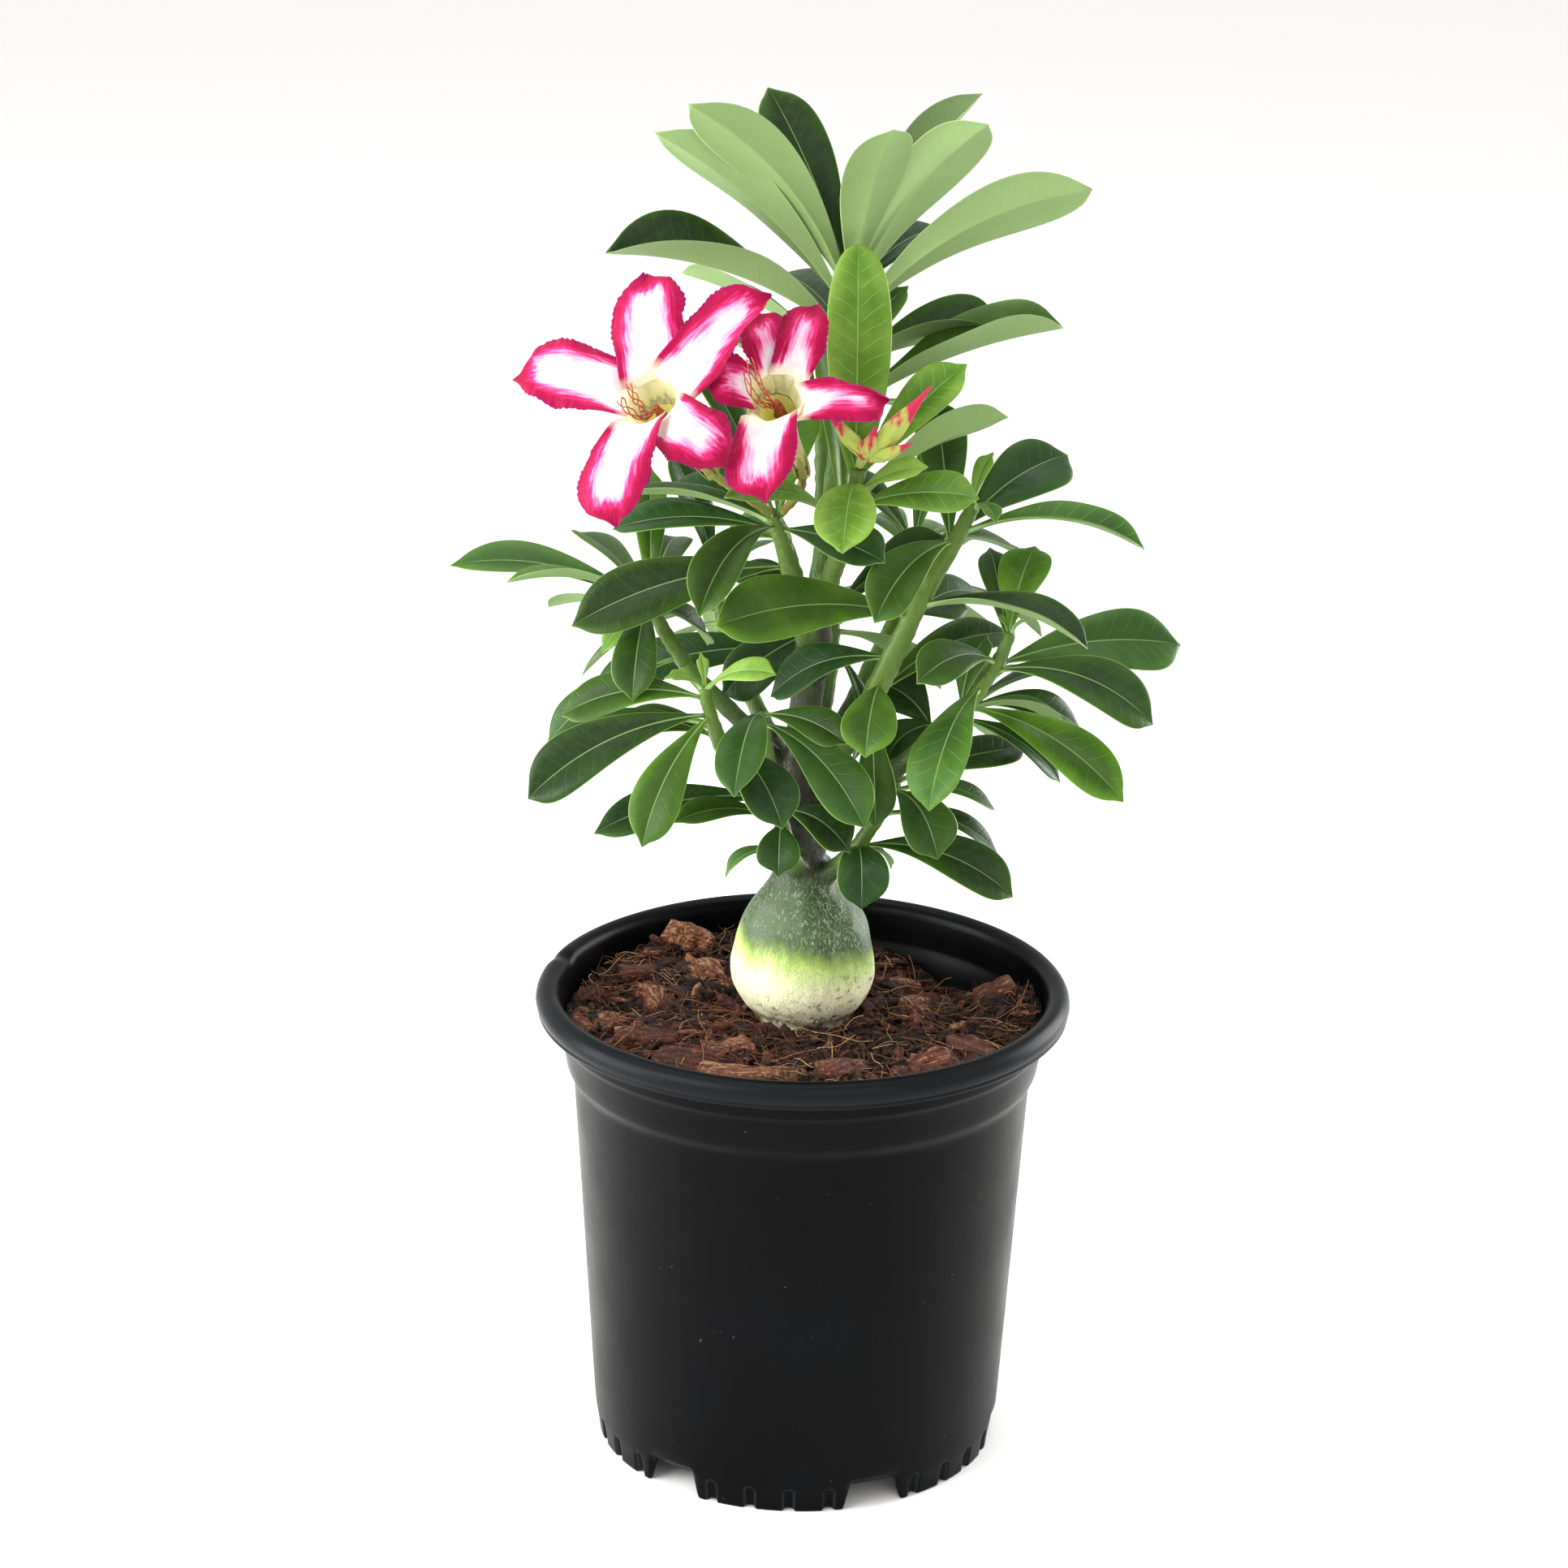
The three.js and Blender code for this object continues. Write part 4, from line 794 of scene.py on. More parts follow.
def leaf(surface, root, row, age, draw, looks):
    """One leaf as rings across its blade. Its outline is s^1.1 * (1 - s^3.7)^0.54 to 0.7 / 0.565 with a
    small point, or for an oblong one (1 - (1 - s)^3) * sqrt(1 - s^6) without. A half rises from the midrib
    by the fold on a soft V and bulges a little; the margin waves; the section thins to a round edge; the
    root is a round petiole; and the midrib is sunk above and raised below."""
    width, rise, turn, fold, twist, oblong = (*row[4:], 0, False)[:6]
    s = np.linspace(0, 1, LEAF_RINGS)
    s = (1 - (1 - s) ** 1.6) * 0.6 + s * 0.4
    tip = np.array(row[1:4], float)
    middle, sideways, normal, direction = blade_frame(root, tip, rise, turn, twist, UP, s)
    place = s[:, None]
    if oblong:
        shape = (1 - (1 - place) ** 3) * (1 - place ** 6) ** 0.5
    else:
        shape = place ** 1.1 * (1 - place ** 3.7) ** draw.uniform(0.54, 0.7) / 0.565
    half = np.maximum(PETIOLE_RADIUS * (1 - 0.7 * smooth_step(place, 0.9, 1)), width / 2 * shape)
    t, away = ROUND, np.abs(ROUND)
    leaning = 1 + 0.05 * draw.uniform(-1, 1) * np.sign(t)
    lateral = half * t * leaning * math.cos(math.radians(fold))
    side_wave = np.where(t > 0, draw.uniform(0, 2 * np.pi), draw.uniform(0, 2 * np.pi))
    waves = np.sin(2 * np.pi * draw.uniform(1.1, 2.0) * place + side_wave)
    height = half * math.sin(math.radians(fold)) * 1.12 * t * t / (away + 0.12)
    height += half * looks.wave * t * t * waves
    height += 0.05 * half * np.sin(np.pi * away) - 0.05 * half * away ** 6
    petiole = np.exp(-place / 0.07)
    body = looks.thickness / MM * (1 - 0.55 * away ** 3) + 0.9 * petiole
    body = body * (1 - 0.6 * smooth_step(place, 0.93, 1))
    rib = np.exp(-(lateral / 0.75) ** 2) * (1 - 0.75 * place)
    skin = np.where(UPPER > 0, body / 2 - 0.16 * rib * (1 - petiole), -body / 2 - 0.5 * rib) * ROUNDED
    point = 1.4 * np.exp(-(lateral / 1.1) ** 2) * smooth_step(place, 0.955, 1)
    point = (point - 0.9 * smooth_step(place, 0.8, 1)) * (not oblong)
    surface.add(pushed(middle, (lateral, sideways), (height + skin, normal), (point, direction)), BENEATH,
                blade=(lateral, np.linalg.norm(tip - root) * place, half * (1 - away)),
                tone=(age, draw.uniform(), place))


def leaf_age(name, width, draw):
    """How young a leaf is: its shoot's age, more for a narrow leaf, with a seeded spread."""
    small = smooth_step(-width, -12, -5)
    return float(np.clip(SHOOT_AGE[name] + 0.4 * small + draw.normal(0, 0.16), 0, 1))


def shoot(name, looks, materials):
    """A leafy shoot: its green stem with soft swellings where leaves have fallen, and its leaves."""
    path, (thick, thin), start = LIMBS[name]
    draw = np.random.default_rng(sum(map(ord, name)))
    surface = Surface("blade", "tone")
    rings, around = STEM_GRID
    places = np.linspace(start - 0.02, 1, rings)
    radii = thick + (thin - thick) * places
    cap = np.sqrt(np.maximum(0.02, 1 - smooth_step(places, LAST_LEAF, 1.0) ** 2))
    stem = tube(path, places, radii * cap, around)
    surface.add(swollen(stem, 0.16 * ripple(stem, 7, 3) + 0.1 * ripple(stem, 2.6, 4)), STEM_SLOT)
    for row in LEAVES[name]:
        at = start + (LAST_LEAF - start) * row[0]
        centre = spline(path, [at])[0]
        outwards = unit(np.array(row[1:4], float) - centre)
        root = centre + outwards * LEAF_SEAT * (thick + (thin - thick) * at)
        leaf(surface, root, row, leaf_age(name, row[4], draw), draw, looks)
    stand_for(surface.build(f"{name}_leaves", materials),
              "young_leaf_green" if name == "flowering" else "leaf_green", f"{name}_shoot")


# Flowers


def petal_skin(looks):
    """Petal: soft and matt with a sheen of fine hairs, white in the middle, through streaky pink to a
    crimson margin, and cream at the throat. The petal mark is across, along and distance to the margin in
    mm; the tone mark is place from root to tip, and 1 on the underside."""
    material, node, here = new_material("picotee_petal")
    petal_mark, across, _, rim = read_mark(node, "petal")
    _, place, under, _ = read_mark(node, "tone")
    lengthwise = node("Mapping", {"Vector": petal_mark, "Scale": (1.3, 0.14, 0.5)})
    streaks = node("TexNoise", {"Vector": lengthwise, "Scale": 1, "Detail": 4})
    wander = node("MapRange", (streaks, 0.3, 0.7, 1.1, -1.1))
    wander = node("Math", (blotches(node, here, 7, 2, 0.3, 0.7, 0.5, -0.5), wander))
    wander = node("Math", (wander, node("MapRange", (rim, 0.4, 2.5)), rim), operation="MULTIPLY_ADD")
    band = node("MapRange", (place, 0.0, 0.5, 0.15, 1.0))
    band = node("Math", (band, looks.band / MM), operation="MULTIPLY")
    depth = node("Math", (wander, band), operation="DIVIDE")
    depth = node("Math", (depth, 0.4), operation="MULTIPLY", use_clamp=True)
    colour = node("ValToRGB", (depth,), ramp=[
        (0.0, looks.margin), (0.26, linear("#980436")), (0.42, linear("#c0286a")), (0.56, looks.blush),
        (0.8, looks.centre)])
    ribs = node("MapRange", (node("Math", (across, 0.55), operation="PINGPONG"), 0.15, 0.5, 0.75, 1.0))
    deep = node("MapRange", (place, 0.0, -0.5))
    for amount, over in (
            (node("Math", (under, 0.6), operation="MULTIPLY"), linear("#c0406c")),
            (node("MapRange", (place, 0.14, 0.0)), linear("#eee9c6")),
            (node("Math", (deep, ribs), operation="MULTIPLY"), looks.throat)):
        colour = node("Mix", {0: amount, FROM: colour, TO: over}, 2, data_type="RGBA")
    return finished(material, node, {
        "Base Color": colour, "Roughness": 0.58, "IOR": 1.4, "Sheen Weight": 0.05, "Subsurface Weight": 0.3,
        "Subsurface Scale": 1.5 * MM, "Subsurface Radius": (1, 0.8, 0.8), "Specular IOR Level": 0.14,
    }, streaks, 0.35, 0.55)


def throat_skin(looks):
    """Inside of the bell: pale yellow-green with thin brown guide lines, darker towards its depth. The petal
    mark on the bell is the angle round it and the place along the flower's path."""
    material, node, _ = new_material("flower_throat")
    _, angle, place, _ = read_mark(node, "petal")
    turns = node("Math", (angle, BELL_RIBS / (2 * math.pi)), operation="MULTIPLY")
    line = node("MapRange", (node("Math", (turns, 0.5), operation="PINGPONG"), 0.06, 0.0))
    guide = node("Math", (line, node("MapRange", (place, 1.0, 0.85, 0.1, 0.45))), operation="MULTIPLY")
    colour = looks.throat
    for amount, over in ((node("MapRange", (place, 0.98, 0.72)), linear("#dcd88e")),
                         (guide, linear("#7c4a25"))):
        colour = node("Mix", {0: amount, FROM: colour, TO: over}, 2, data_type="RGBA")
    return finished(material, node, {
        "Base Color": colour, "Roughness": 0.55, "IOR": 1.4, "Subsurface Weight": 0.6,
        "Subsurface Scale": 3 * MM, "Subsurface Radius": (1, 0.95, 0.6), "Specular IOR Level": 0.3,
    }, turns, 0.1, 0.2)


def tube_skin(looks):
    """Outside of the tube and bell: downy skin, green by the calyx, then pinkish beige with a faint flush."""
    material, node, here = new_material("downy_tube")
    place = read_mark(node, "petal")[2]
    flush = node("TexNoise", {"Vector": here, "Scale": 1 / (2.5 * MM), "Detail": 3})
    colour = linear("#9aa55a")
    for amount, over in ((node("MapRange", (place, 0.55, 0.8)), looks.tube),
                         (node("MapRange", (flush, 0.4, 0.7, 0.0, 0.45)), linear("#c9727c"))):
        colour = node("Mix", {0: amount, FROM: colour, TO: over}, 2, data_type="RGBA")
    return finished(material, node, {"Base Color": colour, "Roughness": 0.6, "IOR": 1.4, "Sheen Weight": 0.2,
                                     "Specular IOR Level": 0.3}, flush, 0.15, 0.5)


def mottled_skin(name, ground, fleck, spacing, spread, roughness):
    """A soft plant skin of two tones: flecks of the second one, some millimetres apart, on the first."""
    material, node, here = new_material(name)
    flecks = node("TexNoise", {"Vector": here, "Scale": 1 / (spacing * MM), "Detail": 3})
    seen = node("MapRange", (flecks, 0.4, 0.7, 0.0, spread))
    colour = node("Mix", {0: seen, FROM: ground, TO: fleck}, 2, data_type="RGBA")
    return finished(material, node, {"Base Color": colour, "Roughness": roughness, "IOR": 1.4,
                                     "Specular IOR Level": 0.3}, flecks, 0.15, 0.6)


def anther_skin(looks):
    """Anther tails: matt hairy threads, reddish brown with paler flecks."""
    return mottled_skin("hairy_anther", looks.anther, linear("#b87a52"), 1.1, 0.6, 0.75)


def stalk_skin(looks):
    """Pedicel and calyx: soft brownish-green skin flushed with red."""
    return mottled_skin("downy_stalk", looks.stalk, linear("#8d4f3a"), 3, 0.7, 0.55)


def bud_skin(looks):
    """Furled bud: yellow-green below, flushed and streaked with crimson towards its pointed tip. The tone
    mark is the place from its base to its tip."""
    material, node, here = new_material("furled_bud")
    upright = node("Mapping", {"Vector": here, "Scale": (1, 1, 0.45)})
    patches = node("TexNoise", {"Vector": upright, "Scale": 1 / (4 * MM), "Detail": 3})
    flush = node("Math", (patches, 1.7, read_mark(node, "tone")[1]), operation="MULTIPLY_ADD")
    flush = node("MapRange", (flush, 1.27, 1.47))
    colour = node("Mix", {0: flush, FROM: looks.bud_base, TO: looks.bud}, 2, data_type="RGBA")
    return finished(material, node, {"Base Color": colour, "Roughness": 0.5, "IOR": 1.4, "Sheen Weight": 0.12,
                                     "Specular IOR Level": 0.3}, patches, 0.2, 0.5)


def petal(surface, curve, axis, row, seed, looks):
    """One petal as rings across it, from a foot inside the bell's wall out to the tip. Its outline is b *
    sqrt(1 - s^4), where b is (0.95 + 0.62 * s) / 1.38; the more oblique it is, the nearer one half comes to
    1.06 * b * sqrt(1 - s^7) and the other to 1.02 * b * (1 - s^2.4)^0.75; it ends in a small point. The root
    follows the bell's round; the margin is crinkled and finely toothed; and past the fold line a margin is
    turned over by its fold angle."""
    *tip, width, rise, turn, cup, oblique, notch, folded = row
    tip = np.array(tip, float)
    s = np.linspace(0, 1, PETAL_RINGS)
    s = 0.6 * s + 0.4 * (1 - (1 - s) ** 2)
    mouth = spline(curve, [1])[0]
    out = tip - mouth
    out = unit(out - axis * (out @ axis))
    sweep = math.radians(PETAL_SWEEP)
    out = out * math.cos(sweep) + np.cross(axis, out) * math.sin(sweep)
    root = mouth + out * PETAL_ROOT[0] + axis * PETAL_ROOT[1]
    middle, sideways, normal, direction = blade_frame(root, tip, rise, turn, 0, axis, s)
    down = np.linspace(1, 0.06, PETAL_FOOT_RINGS)[:, None]
    foot = root - out * (PETAL_ROOT[0] - PETAL_FOOT[0]) * down - axis * (PETAL_ROOT[1] - PETAL_FOOT[1]) * down
    tangent = np.cross(axis, out)
    tangent = tangent * np.sign(sideways[0] @ tangent)
    middle, sideways, normal, direction = (
        np.vstack([np.broadcast_to(below, foot.shape), above]) for below, above in (
            (foot, middle), (tangent, sideways), (-out, normal), (axis, direction)))
    place = np.vstack([-down, s[:, None]])
    s = np.maximum(0, place)
    t, away = ROUND, np.abs(ROUND)
    base = (0.95 + 0.62 * s) / 1.38
    even = base * np.sqrt(1 - s ** 4)
    full = even + abs(oblique) * (1.06 * base * np.sqrt(1 - s ** 7) - even)
    straight = even + abs(oblique) * (1.02 * base * (1 - s ** 2.4) ** 0.75 - even)
    half = width / 2 * np.where(t * oblique > 0, full, straight)
    half = np.clip(half, 0.3, 5.4 + 45 * s + 1.8 * np.minimum(0, place))
    edge = away ** 5
    length = np.linalg.norm(tip - root)
    arc = length * place
    phases = np.random.default_rng(seed).uniform(0, 2 * np.pi, 6)
    which = np.where(t > 0, 0, 3.1)
    grown = smooth_step(place, 0.15, 0.45)
    crinkle = np.sin(arc / 0.62 + phases[0] + which) + 0.7 * np.sin(arc / 0.37 + phases[1] + 2 * which)
    frill = np.sin(arc / 1.6 + phases[2] + which) + 0.6 * np.sin(arc / 2.7 + phases[3] + which)
    crinkle, frill = crinkle * edge, frill * away ** 3
    teeth = (0.4 + 0.16 * np.sin(arc / 1.9 + which)) * np.abs(np.sin(arc / 0.55 + phases[4])) * edge * grown
    width_now = (half + teeth) * (1 - 0.025 * frill * grown) * math.cos(math.radians(cup))
    height = half * math.sin(math.radians(cup)) * away ** 1.5
    height += 0.2 * width_now * t * smooth_step(place, 0, 0.1) * (1 - smooth_step(place, 0.1, 0.6))
    height += grown * looks.crinkle / MM * (0.35 * crinkle + frill)
    height += 0.5 * np.sin(2 * np.pi * (1.2 * place + 0.35 * t) + phases[5]) * grown
    height -= 0.16 * half * smooth_step(away, 0.55, 1) ** 2 * grown
    past = np.maximum(0, away - FOLD_LINE) * width_now * (t * folded > 0)
    fold_angle = math.radians(abs(folded)) * smooth_step(place, 0.2, 0.7)
    lateral = width_now * t - np.sign(t) * past * (1 - np.cos(fold_angle))
    height += past * np.sin(fold_angle)
    seat = 1 - smooth_step(place, 0, 0.3)
    body = looks.petal_thickness / MM * (1 - 0.45 * away ** 2) * (1 - 0.55 * np.abs(place))
    skin = UPPER * body / 2 * ROUNDED
    dip = notch * 9 * np.exp(-((t - 0.18) / 0.16) ** 2) * smooth_step(place, 0.93, 1)
    point = 1.8 * np.exp(-(lateral / 1.3) ** 2) * smooth_step(place, 0.95, 1)
    points = pushed(middle, (lateral, sideways), (height + skin, normal),
                    (-seat * lateral ** 2 / (2 * MOUTH_RADIUS), out), (point - dip, direction))
    rim = np.minimum(half * (1 - away), length * (1 - s) + 0.2 * half * away)
    surface.add(points, petal=(half * t, arc, rim), tone=(place, UPPER < 0, 0))


def corolla(number, looks, materials):
    """A trumpet: a bell on the path, ribbed and hollow down to its narrow tube, and five petals."""
    flower = FLOWERS[number - 1]
    axis = unit(np.array(flower["facing"], float))
    surface = Surface("petal", "tone")
    rings, around = BELL_GRID
    outline = np.vstack([spline([(r, place, 0) for place, r in side], np.linspace(0, 1, rings))[:, :2]
                         for side in (BELL_OUTSIDE, BELL_INSIDE)])
    radius, place = outline.T[..., None]
    angle = circle(around)
    inner = np.arange(len(outline))[:, None] >= rings
    ribs = np.where(inner, 0.16, 0.08) * np.cos(BELL_RIBS * angle) * smooth_step(place, 0.72, 0.9)
    bell = tube(flower["path"], place[:, 0], radius + ribs, around)
    lip = smooth_step(place, 0.93, 1) * (0.3 * np.cos(5 * angle) + 0.2 * np.cos(BELL_RIBS * angle + 1))
    surface.add(bell + lip[..., None] * axis, np.where(inner[:-1], 1, 2), petal=(angle, place, 0))
    for index, row in enumerate(flower["petals"]):
        petal(surface, flower["path"], axis, row, 100 * number + index, looks)
    stand_for(surface.build(f"flower_{number}_petals", materials), "petal_pink", f"flower_{number}_corolla")


def anthers(number, material):
    """Anthers: a cone of five lobes with hairy tails that twist round each other out of the mouth."""
    flower = FLOWERS[number - 1]
    surface = Surface()
    foot, top = ANTHER_CONE
    places = np.linspace(foot, top, 24)
    radii = (1.9 - 7 * (places - foot))[:, None] * (1 + 0.12 * np.cos(5 * circle(40)))
    surface.add(tube(flower["path"], places, radii, 40))
    start = spline(flower["path"], [top - 0.02])[0]
    places = np.linspace(0, 1, 60)
    for index, tail in enumerate(flower["tails"]):
        centre, _, side, up = spline_frame([tuple(start), *tail], places)
        for strand in range(3):
            turn = 2 * np.pi * (strand / 3 + 1.6 * places * (1 if index else -1))[:, None]
            line = centre + (0.35 + 0.75 * places)[:, None] * (np.cos(turn) * side + np.sin(turn) * up)
            line = line + 0.25 * grid(*(ripple(line, 4, 10 * index + strand + k) for k in (50, 60, 70)))
            line[:3] = centre[:3] + 0.3 * (line[:3] - centre[:3])
            surface.add(tube(line[::3], places, 0.3 - 0.12 * places, 7))
    stand_for(surface.build(f"flower_{number}_anther_tails", [material]), "anther_brown",
              f"flower_{number}_anthers")


def calyx(surface, path, places, turn, reach, half, thick, **marks):
    """Five pointed sepals round a path, the first at an angle: flat rings at their reach from the path, whose
    half width and thickness shrink to the tip."""
    centre, along, side, up = spline_frame(path, places)
    ring = circle(10)
    for angle in circle(5) + turn:
        out = np.cos(angle) * side + np.sin(angle) * up
        middle = centre + out * reach[:, None]
        surface.add(pushed(middle, (half[:, None] * np.cos(ring), np.cross(along, out)),
                           (thick[:, None] * np.sin(ring), out)), **marks)


def stalk(number, material):
    """Pedicel with a calyx of five pointed sepals that clasp the tube, their half width as 1 - s^2."""
    path = FLOWERS[number - 1]["path"]
    surface = Surface()
    places = np.linspace(0, 0.51, 40)
    surface.add(tube(path, places, STALK_RADIUS * (1 + 0.08 * np.sin(places * 70)), 18))
    places = np.linspace(CALYX_FOOT, 0.535, 20)
    surface.add(tube(path, places, STALK_RADIUS + 0.1 + 11 * (places - CALYX_FOOT), 24))
    s = np.linspace(0, 1, 16)
    calyx(surface, path, 0.5 + 0.1 * s, 0, 2.15 + 0.5 * s, 1.25 * (1 - s ** 2) + 0.08, 0.28 * (1 - 0.6 * s))
    stand_for(surface.build(f"flower_{number}_pedicel", [material]), "stalk_green", f"flower_{number}_stalk")


def bud_cluster(material):
    """Buds: furled spindles with five spiral ridges and small sepals, on a short common stalk."""
    surface = Surface("tone")
    places = np.linspace(0, 1, 14)
    surface.add(tube(BUD_STALK, places, STALK_RADIUS + 0.5 * places, 16))
    places = np.linspace(0, 1, 50)
    outline = spline([(r, place, 0) for place, r in BUD_OUTLINE], places)[:, :1]
    s = np.linspace(0, 1, 12)
    for index, (base, tip, radius) in enumerate(BUDS):
        path = [base, (np.array(base) + np.array(tip)) / 2 + np.array([0, 0, -BUD_SAG]), tip]
        turn = 5 * (circle(40)[None] + places[:, None])
        ridges = 1 + 0.09 * np.cos(turn) * smooth_step(places, 0.1, 0.4)[:, None]
        surface.add(tube(path, places, radius * outline * ridges, 40), tone=(places[:, None], 0, 0))
        calyx(surface, path, 0.02 + 0.34 * s, np.pi / 5 * index, radius * (0.62 + 0.5 * s),
              0.42 * radius * (1 - s ** 2) + 0.05, 0.2 * (1 - 0.7 * s), tone=(0.35, 0, 0))
    stand_for(surface.build("buds", [material]), "bud_crimson", "flower_buds")


# Caudex and trunk


def caudex_skin(looks):
    """Living caudex skin: cream and cracked by the mix, glowing lime above, then smooth grey-green with a
    net of fine pale upright wrinkles and paler patches, partly a painted sheen; the branches turn from
    grey-brown bark, painted darker as shade inside the foliage, to green towards their shoots."""
    material, node, here = new_material("living_caudex_skin")
    in_mm = node("VectorMath", (here, (1 / MM,) * 3), operation="MULTIPLY")
    x, _, z = node("SeparateXYZ", (in_mm,)).node.outputs
    wood = node("Attribute", output="Fac", attribute_name="greenness")
    upright = node("Mapping", {"Vector": here, "Scale": (1, 1, 0.3)})
    wander, ragged, grain, net, spread = (
        node("TexNoise", {"Vector": vector, "Scale": 1 / (spacing * MM), "Detail": detail})
        for vector, spacing, detail in (
            (here, 20, 3), (upright, 2.4, 3), (upright, 3.5, 4), (upright, 1.1, 2), (here, 12, 2)))
    wander = node("Math", (wander, 10, -7), operation="MULTIPLY_ADD")
    ragged = node("Math", (ragged, 4, wander), operation="MULTIPLY_ADD")
    level = node("Math", (x, 0.13, node("Math", (z, ragged))), operation="MULTIPLY_ADD")
    lime, green = (node("MapRange", (level, low, high), interpolation_type="SMOOTHSTEP")
                   for low, high in ((153.5, 165), (162, 169)))
    # paler grey-green blotches on the green skin: partly its tone, partly a painted sheen
    tone_and_sheen = node("Math", (blotches(node, here, 8, 3, 0.35, 0.65, 0.0, 0.55), green), operation="MULTIPLY")
    # painted shade: the bark and its grain colour are darkened for the trunk in the shade of the leaves
    bark = looks.bark
    for amount, over in ((node("MapRange", (grain, 0.35, 0.65)), linear("#262917")),
                         (wood, linear("#5f8436"))):
        bark = node("Mix", {0: amount, FROM: bark, TO: over}, 2, data_type="RGBA")
    lines = node("Math", (node("Math", (net, -0.5)),), operation="ABSOLUTE")
    lines = node("MapRange", (lines, 0.04, 0.0))
    upper = lines
    for limit in (node("MapRange", (level, 163, 170, 0.0, 0.7)), node("MapRange", (z, 192, 184))):
        upper = node("Math", (upper, limit), operation="MULTIPLY")
    specks = node("TexNoise", {"Vector": here, "Scale": 1 / (2.4 * MM), "Detail": 5, "Roughness": 0.72})
    spread = node("Math", (spread, 20, z), operation="MULTIPLY_ADD")
    spread = node("Math", (x, -0.35, spread), operation="MULTIPLY_ADD")
    cracks = node("Math", (node("MapRange", (specks, 0.56, 0.6)), node("MapRange", (spread, 168, 150))),
                  operation="MULTIPLY")
    earthy = node("Math", (blotches(node, here, 4, 3, 0.35, 0.65), node("MapRange", (z, 148, 141))),
                  operation="MULTIPLY")
    colour = looks.cream
    for amount, over in (
            (lime, looks.lime), (green, looks.green), (tone_and_sheen, linear("#50683f")),
            (node("MapRange", (z, 182, 192)), bark), (upper, linear("#a9b896")), (cracks, looks.crack),
            (earthy, linear("#7a5a3c"))):
        colour = node("Mix", {0: amount, FROM: colour, TO: over}, 2, data_type="RGBA")
    relief = node("Math", (cracks, -0.9), operation="MULTIPLY")
    for height, weight in ((lines, 0.5), (ragged, 0.05), (grain, 0.8)):
        relief = node("Math", (height, weight, relief), operation="MULTIPLY_ADD")
    return finished(material, node, {"Base Color": colour, "Roughness": 0.45, "IOR": 1.45,
                                     "Specular IOR Level": 0.4}, relief, 0.4, 0.8)


def greenness(points):
    """How green the wood is at each point: 0 at a branch's foot to 1 at its shoot, from the nearest
    branch."""
    green = np.zeros(len(points))
    nearest = np.full(len(points), 1e9)
    for path, _, start in LIMBS.values():
        places = np.linspace(0, start, 24)
        gaps = np.linalg.norm(points[:, None] - spline(path, places)[None], axis=-1)
        ripe = smooth_step(places / start, 0.35, 1.0)
        green = np.where(gaps.min(1) < nearest, ripe[gaps.argmin(1)], green)
        nearest = np.minimum(nearest, gaps.min(1))
    return green


def caudex_piece(looks):
    """The bulb, trunk and branches: a turned bulb with soft lumps and tubes that flare at their feet,
    remeshed into one skin and smoothed, so that every branch grows out of the trunk."""
    surface = Surface()
    rings, around = BULB_GRID
    outline = spline([(r, 0, z) for r, z in CAUDEX_OUTLINE], np.linspace(0, 1, rings))[:, [0, 2]]
    bulb = turned(outline, around)
    away = unit(bulb * np.array([1, 1, 0]))
    for height, stretch, scale, seed in ((looks.lumps / MM, 0.6, 17, 5), (0.12, 0.3, 3.2, 6)):
        bulb = bulb + (height * ripple(bulb * np.array([1, 1, stretch]), scale, seed))[..., None] * away
    surface.add(bulb)
    rings, around = LIMB_GRID
    for index, (path, (thick, thin), start) in enumerate(LIMBS.values()):
        places = np.linspace(0, start + 0.004, rings)
        length = np.linalg.norm(np.diff(spline(path, places), axis=0), axis=1).sum()
        run = places / start * length
        flare, reach = BRANCH_FLARE if index else TRUNK_FLARE
        radii = thick + (thin - thick) * places + flare * np.exp(-run / reach)
        knots = 0.16 * np.maximum(0, np.sin(run / 1.5 + index)) ** 4
        limb = tube(path, places, radii + knots, around)
        surface.add(swollen(limb, 0.18 * ripple(limb, 6, 7)))
    mesh = applied(surface.build("rough_trunk", []),
                   ("REMESH", {"mode": "VOXEL", "voxel_size": looks.voxel}),
                   ("SMOOTH", {"factor": 0.5, "iterations": 5}))
    points = np.empty(len(mesh.vertices) * 3)
    mesh.vertices.foreach_get("co", points)
    green = mesh.attributes.new("greenness", "FLOAT", "POINT")
    green.data.foreach_set("value", greenness(points.reshape(-1, 3) / MM).astype(np.float32))
    mesh.name = "swollen_trunk"
    stand_for(new_piece("swollen_trunk", mesh, [caudex_skin(looks)]), "caudex_bark", "caudex_and_trunk")


# Potting mix


def bark_skin(looks):
    """Pine bark: reddish-brown layers, torn along the grain, matt, each chip of its own tone. The grain mark
    is along, across and up in mm, and the tone mark is the chip's tone."""
    material, node, here = new_material("shredded_pine_bark")
    lengthwise = node("Mapping", {"Vector": read_mark(node, "grain")[0], "Scale": (0.16, 0.9, 1.3)})
    layers = node("TexNoise", {"Vector": lengthwise, "Scale": 1, "Detail": 5, "Roughness": 0.6})
    speckle = node("TexNoise", {"Vector": here, "Scale": 1 / (1.1 * MM), "Detail": 4})
    shade = read_mark(node, "tone")[1]
    for noise, spread in ((layers, 0.3), (speckle, 0.18)):
        shade = node("Math", (node("MapRange", (noise, 0.3, 0.7, -spread, spread)), shade))
    colour = node("ValToRGB", (shade,), ramp=[
        (0.0, looks.dark), (0.35, linear("#22110a")), (0.66, looks.bark), (0.88, linear("#6e3f2a")),
        (1.0, linear("#94704c"))])
    relief = node("Math", (speckle, 0.5, layers), operation="MULTIPLY_ADD")
    return finished(material, node, {"Base Color": colour, "Roughness": 0.78, "IOR": 1.45,
                                     "Specular IOR Level": 0.35}, relief, 1.1, 1)


